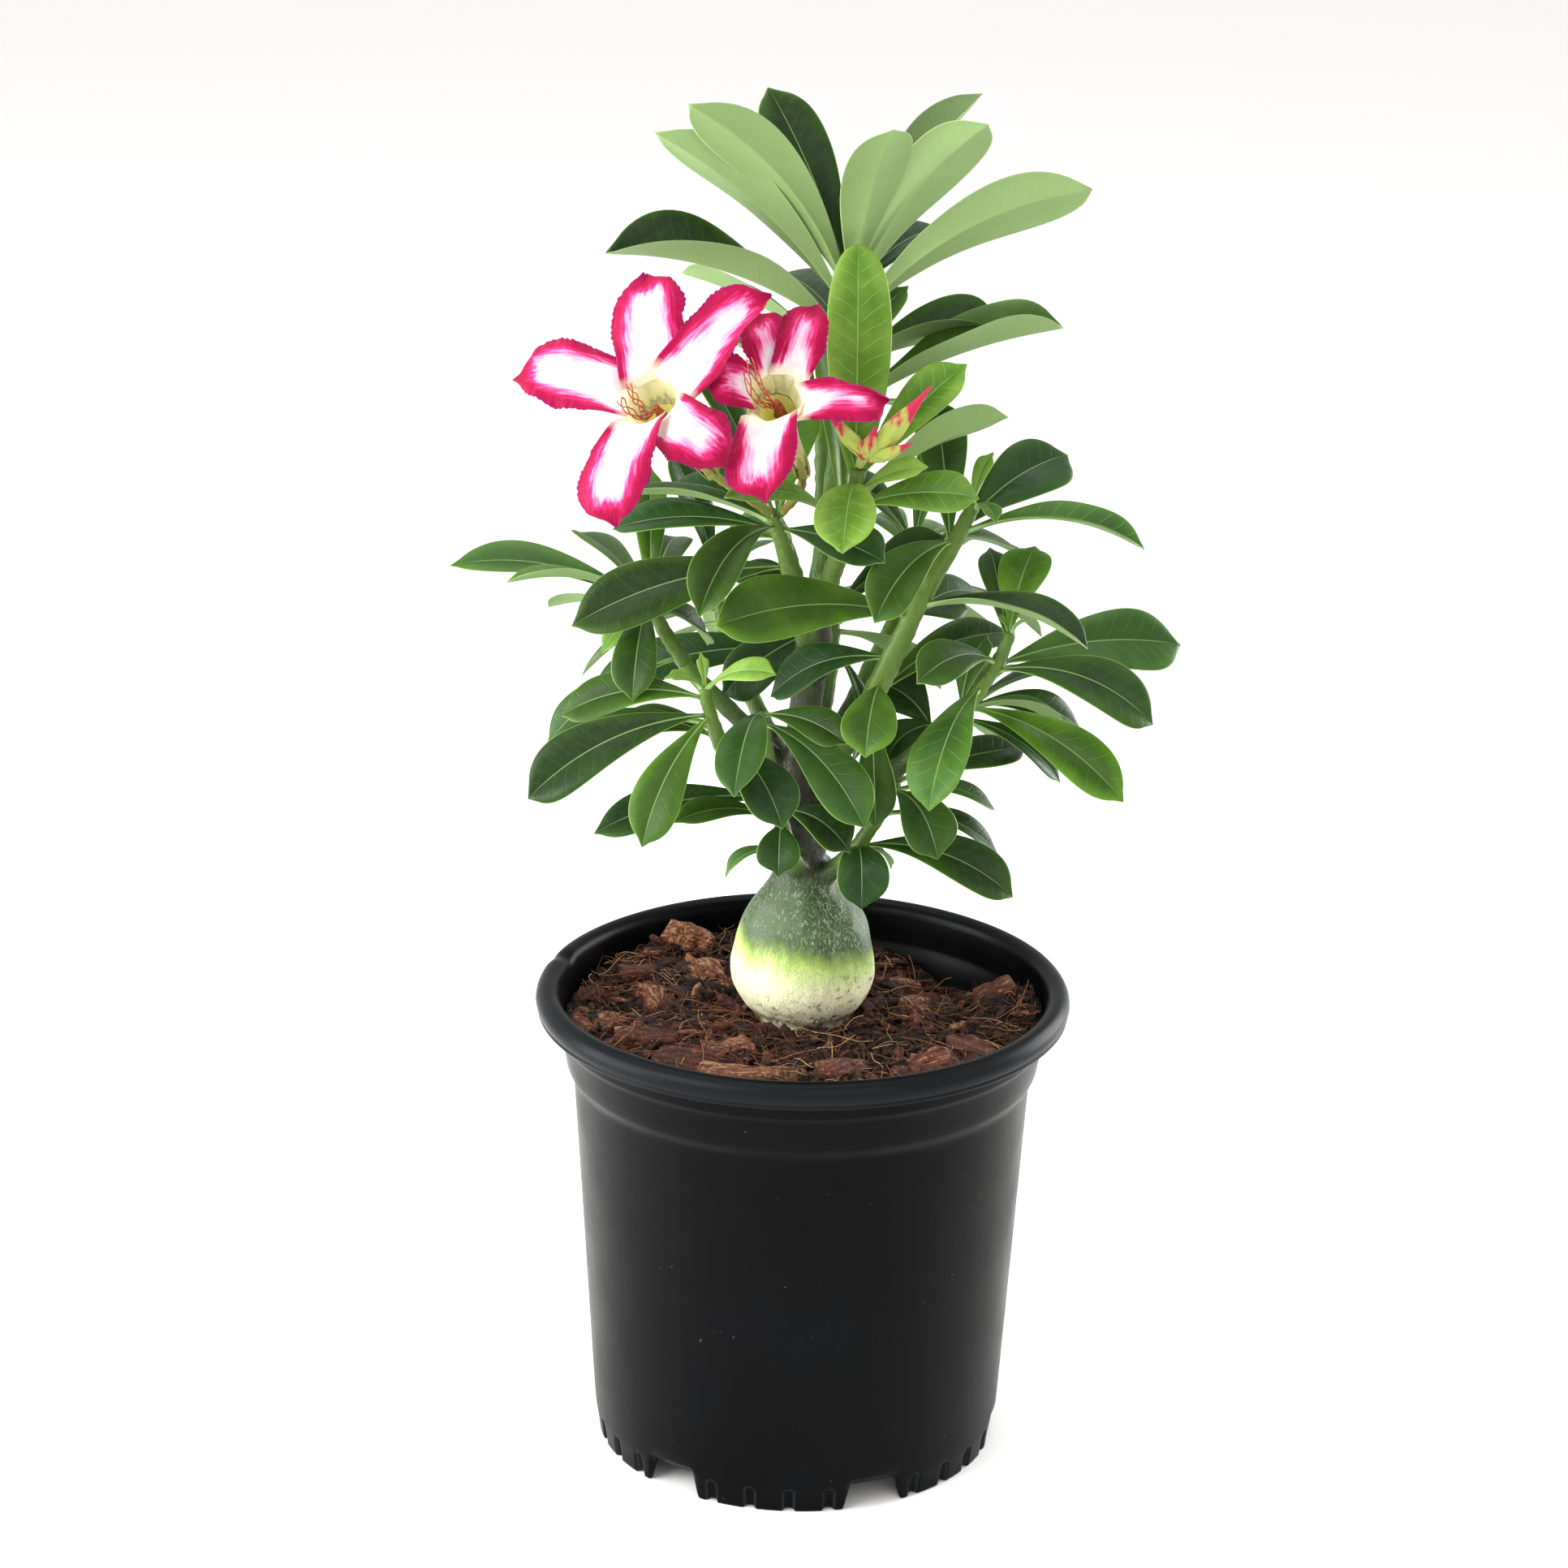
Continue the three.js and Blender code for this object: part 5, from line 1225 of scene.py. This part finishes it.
def crumb_skin(looks):
    """Moist crumb between the chips: dark brown coir dust with reddish flecks."""
    material, node, here = new_material("moist_coir_crumb")
    flecks = node("TexNoise", {"Vector": here, "Scale": 1 / (2 * MM), "Detail": 5})
    colour = node("ValToRGB", (node("MapRange", (flecks, 0.35, 0.7)),), ramp=[
        (0.0, linear("#080403")), (0.5, looks.dark), (1.0, linear("#402315"))])
    straw = blotches(node, here, 1.2, 4, 0.6, 0.72, 0.0, 0.5)
    colour = node("Mix", {0: straw, FROM: colour, TO: looks.fibre}, 2, data_type="RGBA")
    return finished(material, node, {"Base Color": colour, "Roughness": 0.85, "IOR": 1.4,
                                     "Specular IOR Level": 0.3}, flecks, 1.3, 1)


def fibre_skin(looks):
    """Coir fibres: thin matt threads, each of its own tone from red-brown to straw."""
    material, node, _ = new_material("coir_fibre")
    colour = node("ValToRGB", (read_mark(node, "tone")[1],), ramp=[
        (0.0, linear("#2c180f")), (0.5, linear("#5c3520")), (0.85, looks.fibre), (1.0, linear("#b8976a"))])
    return finished(material, node, {"Base Color": colour, "Roughness": 0.7, "IOR": 1.4,
                                     "Specular IOR Level": 0.3})


def mix_height(x, y):
    """Height of the mix: the soil line plus its low places and heaps as bell-shaped bumps."""
    height = np.full(np.shape(x), float(SOIL_LINE))
    for cx, cy, change, radius in MIX_FORMS:
        height = height + change * np.exp(-((x - cx) ** 2 + (y - cy) ** 2) / radius ** 2)
    return np.maximum(LOWEST_MIX, height)


def wall_inside(z):
    """Radius of the pot's inner wall at a height over its floor."""
    radius, height = np.array([corner for corner in POT_INSIDE[::-1] if corner[1] >= FLOOR_TOP]).T
    return np.interp(z, height, radius)


def mix_bed(looks):
    """The bed of crumb: rings over the mix height with a rough crumbly grain, then down inside the pot's
    wall."""
    rings, around = BED_GRID
    angle = circle(around)
    edge = wall_inside(mix_height(70 * np.cos(angle), 70 * np.sin(angle))) - 0.35
    shares = np.linspace(0, 1, rings)[:, None]
    radius = BED_START + (edge - BED_START) * shares
    x, y = radius * np.cos(angle), radius * np.sin(angle)
    top = grid(x, y, mix_height(x, y))
    grain = 1.3 * ripple(top, 9, 21) + 0.8 * ripple(top, 4, 22) + 0.45 * ripple(top, 2.2, 23)
    fade = smooth_step(radius, 15, 19) * (1 - 0.6 * smooth_step(shares, 0.97, 1))
    top[..., 2] += grain * fade - 1.6 * (1 - smooth_step(radius, 15.5, 22))
    surface = Surface()
    surface.add(np.concatenate([top, turned(MIX_SIDE, around)]))
    stand_for(surface.build("mix_bed", [crumb_skin(looks)]), "bark_mix", "potting_mix")


def turned_points(points, heading, tilt, roll):
    """Points rolled about X, tilted about Y, then turned about Z, in degrees."""
    turn = (Matrix.Rotation(math.radians(heading), 3, "Z") @ Matrix.Rotation(math.radians(tilt), 3, "Y")
            @ Matrix.Rotation(math.radians(roll), 3, "X"))
    return points @ np.array(turn).T


def chip(surface, centre, sizes, angles, tone, seed, rows, around):
    """A torn flat chip: rounded boxes across its length whose outline wanders, with skewed ends and split
    edges, pushed about by noise. A box's side is sign(c) * |c|^0.42 of the circle's."""
    length, width, thickness = sizes
    draw = np.random.default_rng(seed)
    v = np.linspace(-1, 1, rows)[:, None]
    v = np.sign(v) * np.abs(v) ** 0.8
    spoke = np.stack([np.cos(circle(around) + 0.4), np.sin(circle(around) + 0.4)])
    boxy = np.sign(spoke) * np.abs(spoke) ** 0.42
    taper = np.sqrt(np.maximum(0.03, 1 - np.abs(v) ** draw.uniform(4, 10)))
    wander = 1 + 0.22 * np.sin(3 * v + draw.uniform(0, 6)) + 0.1 * np.sin(9 * v + draw.uniform(0, 6))
    across = width / 2 * taper * wander * boxy[0]
    up = thickness / 2 * np.maximum(0.3, taper ** 0.7) * boxy[1]
    along = length / 2 * v + draw.uniform(-0.35, 0.35) * across
    points = grid(along, across, up)
    rough = ripple(points * np.array([0.3, 1, 1]), 0.7 * width, seed + 1, waves=8)
    fine = ripple(points * np.array([0.25, 1, 1.5]), thickness / 2.2, seed + 2, waves=8)
    push = (0.13 * thickness * rough + 0.07 * thickness * fine)[..., None]
    points = points + push * unit(points * np.array([0.3, 1, 1]))
    surface.add(turned_points(points, *angles) + centre, tone=(tone, 0, 0),
                grain=(along + seed, across + seed, up + seed))


def scatter(draw, count, inner):
    """Seeded places spread evenly over the mix from an inner radius outwards, with their heights."""
    radius = np.sqrt(draw.uniform(inner ** 2, SCATTER_RADIUS ** 2, count))
    angle = draw.uniform(0, 2 * np.pi, count)
    x, y = radius * np.cos(angle), radius * np.sin(angle)
    fits = np.minimum(1, (wall_inside(mix_height(x, y)) - 3.5) / np.maximum(radius, 1))
    x, y = x * fits, y * fits
    return x, y, mix_height(x, y)


def bark_pieces(looks):
    """Bark on the bed: the large chips listed one by one, then seeded flakes and crumbs."""
    draw = np.random.default_rng(41)
    surface = Surface("tone", "grain")
    for index, (x, y, length, width, thickness, heading, tilt) in enumerate(BARK_CHIPS + STICKS):
        tone = draw.uniform(0.55, 0.85) if index < len(BARK_CHIPS) else 0.95
        chip(surface, np.array([x, y, mix_height(x, y) + 1.0]), (length, width, 0.72 * thickness),
             (heading, tilt, draw.uniform(-12, 12)), tone, 300 + index, 30, 36)
    x, y, z = scatter(draw, looks.flakes, 19)
    for index in range(looks.flakes):
        length = draw.uniform(3.5, 13)
        sizes = (length, length * draw.uniform(0.22, 0.5), length * draw.uniform(0.07, 0.2))
        angles = (draw.uniform(0, 360), draw.normal(0, 18), draw.normal(0, 30))
        chip(surface, np.array([x[index], y[index], z[index] + draw.uniform(-0.2, 1.8)]), sizes, angles,
             draw.uniform(0.15, 0.85), 1000 + index, 6, 8)
    x, y, z = scatter(draw, looks.crumbs, 16.5)
    for index in range(looks.crumbs):
        length = draw.uniform(1.2, 3.8)
        sizes = (length, length * draw.uniform(0.4, 0.9), length * draw.uniform(0.3, 0.7))
        angles = (draw.uniform(0, 360), draw.uniform(-60, 60), 0)
        chip(surface, np.array([x[index], y[index], z[index] + draw.uniform(0, 1.4)]), sizes, angles,
             draw.uniform(0.05, 0.75), 3000 + index, 4, 6)
    stand_for(surface.build("bark_pieces", [bark_skin(looks)]), "bark_mix", "potting_mix")


def coir(looks):
    """Coir fibres: thin curved threads over the mix, pressed to its surface, with a few ends standing up."""
    draw = np.random.default_rng(77)
    surface = Surface("tone")
    x, y, _ = scatter(draw, looks.fibres, 18)
    steps = np.linspace(-0.5, 0.5, 8)
    places = np.linspace(0, 1, 9)
    for index in range(looks.fibres):
        length = draw.uniform(5, 22)
        heading = draw.uniform(0, 2 * np.pi)
        turn = heading + draw.normal(0, 0.7) * steps
        line_x = x[index] + length * np.cumsum(np.cos(turn)) / 8 - length / 2 * math.cos(heading)
        line_y = y[index] + length * np.cumsum(np.sin(turn)) / 8 - length / 2 * math.sin(heading)
        radius = np.hypot(line_x, line_y)
        held = np.clip(radius, 17.5, wall_inside(mix_height(line_x, line_y)) - 2.5) / np.maximum(radius, 1)
        line_x, line_y = line_x * held, line_y * held
        lift = draw.uniform(0.6, 2.8) + abs(draw.normal(0, 1.8)) * (steps + 0.5) ** 2
        lift += 0.5 * np.sin(7 * steps + draw.uniform(0, 6))
        line = grid(line_x, line_y, mix_height(line_x, line_y) + lift)
        thick = draw.uniform(0.08, 0.2)
        surface.add(tube(line, places, thick * (1 - 0.5 * places), 4), tone=(draw.uniform(), 0, 0))
    stand_for(surface.build("coir_fibres", [fibre_skin(looks)]), "bark_mix", "potting_mix")


# Pot


def pot_plastic(looks):
    """Injection-moulded black polyethylene: satin with a faint bloom, a fine orange peel, a few dust specks
    and a painted highlight that greys the rolled rim and the grooves' edges."""
    material, node, here = new_material("moulded_black_polyethylene")
    colour = looks.black
    for amount, over in (
            (blotches(node, here, 40, 3, 0.35, 0.7, 0.0, 0.5), linear("#07090c")),
            # painted highlight: the rolled rim and the grooves' edges turned grey
            (read_mark(node, "rubbed")[1], linear("#24282b")),
            (blotches(node, here, 1.3, 2, 0.75, 0.77, 0.0, looks.dust), linear("#6d6a62"))):
        colour = node("Mix", {0: amount, FROM: colour, TO: over}, 2, data_type="RGBA")
    worn = blotches(node, here, 25, 4, 0.3, 0.7, looks.roughness - 0.04, looks.roughness + 0.08)
    peel = node("TexNoise", {"Vector": here, "Scale": 1 / (1.4 * MM), "Detail": 3})
    return finished(material, node, {"Base Color": colour, "Roughness": worn, "IOR": 1.5,
                                     "Specular IOR Level": 0.065}, peel, 0.05, 0.5)


def foot_shape(rings):
    """Feet and grooves: between two groups of feet the lowest edge is lifted and the heights over it are
    squeezed; a groove pushes the outside in under an arch. The second value is 1 on the grooves' edges."""
    x, y, height = np.moveaxis(rings, -1, 0)
    radius = np.hypot(x, y)
    angle = np.degrees(np.arctan2(y, x)) + 90 - FOOT_GROUP_TURN
    pitch = 360 / FOOT_GROUPS
    from_gap = np.abs((angle % pitch) - pitch / 2)
    from_foot = (angle + pitch / 2) % pitch - pitch / 2
    lifted = RAISED_EDGE * (1 - smooth_step(from_gap, FOOT_GAP[1], FOOT_GAP[0]))
    groove_pitch = (pitch - GROOVELESS) / GROOVES
    from_groove = (from_foot / groove_pitch) % 1 - 0.5
    in_feet = np.abs(from_foot) < groove_pitch * GROOVES / 2
    across = np.abs(from_groove) * np.radians(groove_pitch) * radius
    width, top, depth = GROOVE
    arch = np.hypot(across, np.maximum(0, height - (top - width / 2)))
    sunk = (1 - smooth_step(arch, width / 2 - 0.9, width / 2)) * in_feet
    scallop = 0.7 * (1 - smooth_step(across, 0.6, width / 2)) * in_feet
    low = np.maximum(lifted, scallop)
    below = height < FOOT_HEIGHT
    z = np.where(below, low + np.clip(height / FOOT_HEIGHT, 0, 1) * (FOOT_HEIGHT - low), height)
    outside = (radius > FOOT_RADIUS) & below
    scale = np.where(outside, (radius - depth * sunk) / radius, 1)
    return grid(x * scale, y * scale, z), 4 * sunk * (1 - sunk) * outside


def pot_piece(looks):
    """The pot: its section turned round, with feet and grooves, a bead and a small dent on the rolled rim,
    and a raised floor with six drain holes, cut by a boolean."""
    section = dense(POT_OUTSIDE + POT_RIM + POT_INSIDE, POT_STEP)
    rings, edge = foot_shape(turned(section, POT_AROUND))
    angle = np.degrees(np.arctan2(rings[..., 1], rings[..., 0])) % 360
    where, half, depth = RIM_DENT
    rings[..., 2] -= depth * np.exp(-((angle - where) / half) ** 2) * smooth_step(rings[..., 2], 144, 149)
    sag = 0.25 * np.sin(2 * np.radians(angle) + 0.6) * smooth_step(rings[..., 2], 60, 150)
    rings[..., :2] *= (1 + sag / 80)[..., None]
    # painted highlight along the rolled rim, joined with the one on the grooves' edges
    rim = 0.35 * smooth_step(np.hypot(rings[..., 0], rings[..., 1]), *RIM_HIGHLIGHT)
    surface = Surface("rubbed")
    surface.add(rings, ring_shaped=True, rubbed=(np.maximum(edge, rim), 0, 0))
    material = pot_plastic(looks)
    pot = surface.build("pot_shell", [material])
    floor = Surface()
    floor.add(turned(FLOOR_DISC, 180))
    disc = floor.build("pot_floor", [material])
    holes = Surface()
    radius, hole_circle = DRAIN_HOLES
    for group in range(FOOT_GROUPS):
        heading = math.radians(FOOT_GROUP_TURN - 90 + 360 / FOOT_GROUPS * group)
        drill = turned([(radius, FLOOR_DISC[-1][1] - 3), (radius, FLOOR_TOP + 3)], 48)
        holes.add(drill + hole_circle * np.array([math.cos(heading), math.sin(heading), 0]))
    drills = holes.build("drain_holes", [])
    mesh = applied(disc, ("BOOLEAN", {"operation": "DIFFERENCE", "object": drills}))
    bpy.data.objects.remove(drills)
    mesh.name = "pot_floor"
    base = new_piece("pot_base", mesh, [] if mesh.materials else [material])
    for piece in (pot, base):
        stand_for(piece, "pot_plastic", "nursery_pot")


# Stage


def camera_and_light(looks):
    """A pale floor, the camera of the photograph's view, white surroundings and five soft square lamps: a key
    from the front left, a weaker fill from the front right, one low at each side and one overhead."""
    scene = bpy.context.scene
    scene.view_settings.view_transform = "Standard"
    mesh = bpy.data.meshes.new("floor")
    corners = [(-1, -1), (1, -1), (1, 1), (-1, 1)]
    mesh.from_pydata([(FLOOR_REACH * x, FLOOR_REACH * y, 0) for x, y in corners], [], [(0, 1, 2, 3)])
    material, node, _ = new_material("pale_floor")
    finished(material, node, {"Base Color": looks.floor, "Roughness": 0.9, "Specular IOR Level": 0.2})
    new_piece("floor", mesh, [material])
    yaw, pitch, roll = (math.radians(a) for a in CAMERA_ANGLES)
    forward = np.array([math.sin(yaw) * math.cos(pitch), math.cos(yaw) * math.cos(pitch), -math.sin(pitch)])
    right = np.array([math.cos(yaw), -math.sin(yaw), 0])
    up = np.cross(right, forward)
    across = right * math.cos(roll) + up * math.sin(roll)
    upright = up * math.cos(roll) - right * math.sin(roll)
    camera = bpy.data.objects.new("camera", bpy.data.cameras.new("camera"))
    camera.data.sensor_width = 36
    camera.data.lens = FOCAL_PIXELS * camera.data.sensor_width / IMAGE_SIDE
    scene.collection.objects.link(camera)
    scene.camera = camera
    poses = [(camera, CAMERA_PLACE, (across, upright, -forward))]
    for name, (spot, side, power) in LIGHTS.items():
        lamp = bpy.data.objects.new(name, bpy.data.lights.new(name, "AREA"))
        lamp.data.size = side
        lamp.data.energy = power * looks.key
        aim = unit(LIGHT_TARGET - np.array(spot))
        level = unit(np.cross(aim, UP))
        poses.append((lamp, spot, (level, np.cross(level, aim), -aim)))
        scene.collection.objects.link(lamp)
    for thing, spot, ways in poses:
        thing.matrix_world = Matrix.Translation(spot) @ Matrix(np.stack(ways, 1).tolist()).to_4x4()
    world = bpy.data.worlds.new("studio")
    world.use_nodes = True
    background = world.node_tree.nodes["Background"].inputs
    background["Color"].default_value = (1, 1, 1, 1)
    background["Strength"].default_value = looks.world
    scene.world = world


# Operators


class DESERTROSE_OT_leaves(bpy.types.Operator):
    """Make the leafy shoots"""

    bl_idname = "desertrose.leaves"
    bl_label = "Leaves"

    def execute(self, context):
        looks = context.scene.desertrose_leaves
        materials = [leaf_upper(looks), leaf_underside(looks), green_stem(looks)]
        for name in LEAVES:
            shoot(name, looks, materials)
        return {"FINISHED"}


class DESERTROSE_OT_flowers(bpy.types.Operator):
    """Make the flowers and buds"""

    bl_idname = "desertrose.flowers"
    bl_label = "Flowers"

    def execute(self, context):
        looks = context.scene.desertrose_flowers
        petals = [petal_skin(looks), throat_skin(looks), tube_skin(looks)]
        hairy, downy = anther_skin(looks), stalk_skin(looks)
        for number in range(1, len(FLOWERS) + 1):
            corolla(number, looks, petals)
            anthers(number, hairy)
            stalk(number, downy)
        bud_cluster(bud_skin(looks))
        return {"FINISHED"}


class DESERTROSE_OT_caudex(bpy.types.Operator):
    """Make the caudex, trunk and branches"""

    bl_idname = "desertrose.caudex"
    bl_label = "Caudex"

    def execute(self, context):
        caudex_piece(context.scene.desertrose_caudex)
        return {"FINISHED"}


class DESERTROSE_OT_mix(bpy.types.Operator):
    """Make the potting mix with its bark and fibres"""

    bl_idname = "desertrose.mix"
    bl_label = "Potting mix"

    def execute(self, context):
        looks = context.scene.desertrose_mix
        mix_bed(looks)
        bark_pieces(looks)
        coir(looks)
        return {"FINISHED"}


class DESERTROSE_OT_pot(bpy.types.Operator):
    """Make the nursery pot"""

    bl_idname = "desertrose.pot"
    bl_label = "Pot"

    def execute(self, context):
        pot_piece(context.scene.desertrose_pot)
        return {"FINISHED"}


class DESERTROSE_OT_stage(bpy.types.Operator):
    """Make the floor, lights and camera"""

    bl_idname = "desertrose.stage"
    bl_label = "Stage"

    def execute(self, context):
        camera_and_light(context.scene.desertrose_stage)
        return {"FINISHED"}


SETTINGS = {
    "leaves": LeafSettings, "flowers": FlowerSettings, "caudex": CaudexSettings, "mix": MixSettings,
    "pot": PotSettings, "stage": StageSettings,
}
OPERATORS = [
    DESERTROSE_OT_leaves, DESERTROSE_OT_flowers, DESERTROSE_OT_caudex, DESERTROSE_OT_mix, DESERTROSE_OT_pot,
    DESERTROSE_OT_stage,
]


class DESERTROSE_PT_panel(bpy.types.Panel):
    """Sidebar panel with the settings and operators of each group of pieces"""

    bl_label = "Desert rose"
    bl_idname = "DESERTROSE_PT_panel"
    bl_space_type = "VIEW_3D"
    bl_region_type = "UI"
    bl_category = "Desert rose"

    def draw(self, context):
        for group, operator in zip(SETTINGS, OPERATORS):
            box = self.layout.box()
            box.operator(operator.bl_idname)
            settings = getattr(context.scene, f"desertrose_{group}")
            for name in settings.__annotations__:
                box.prop(settings, name)


def register():
    """Registers the settings, the operators and the panel."""
    for group, settings in SETTINGS.items():
        bpy.utils.register_class(settings)
        setattr(bpy.types.Scene, f"desertrose_{group}", bpy.props.PointerProperty(type=settings))
    for kind in (*OPERATORS, DESERTROSE_PT_panel):
        bpy.utils.register_class(kind)


def unregister():
    """Takes back what register did, in the opposite order."""
    for kind in (DESERTROSE_PT_panel, *reversed(OPERATORS)):
        bpy.utils.unregister_class(kind)
    for group, settings in reversed(SETTINGS.items()):
        delattr(bpy.types.Scene, f"desertrose_{group}")
        bpy.utils.unregister_class(settings)


def main():
    register()
    for group in SETTINGS:
        getattr(bpy.ops.desertrose, group)()


if __name__ == "__main__":
    main()
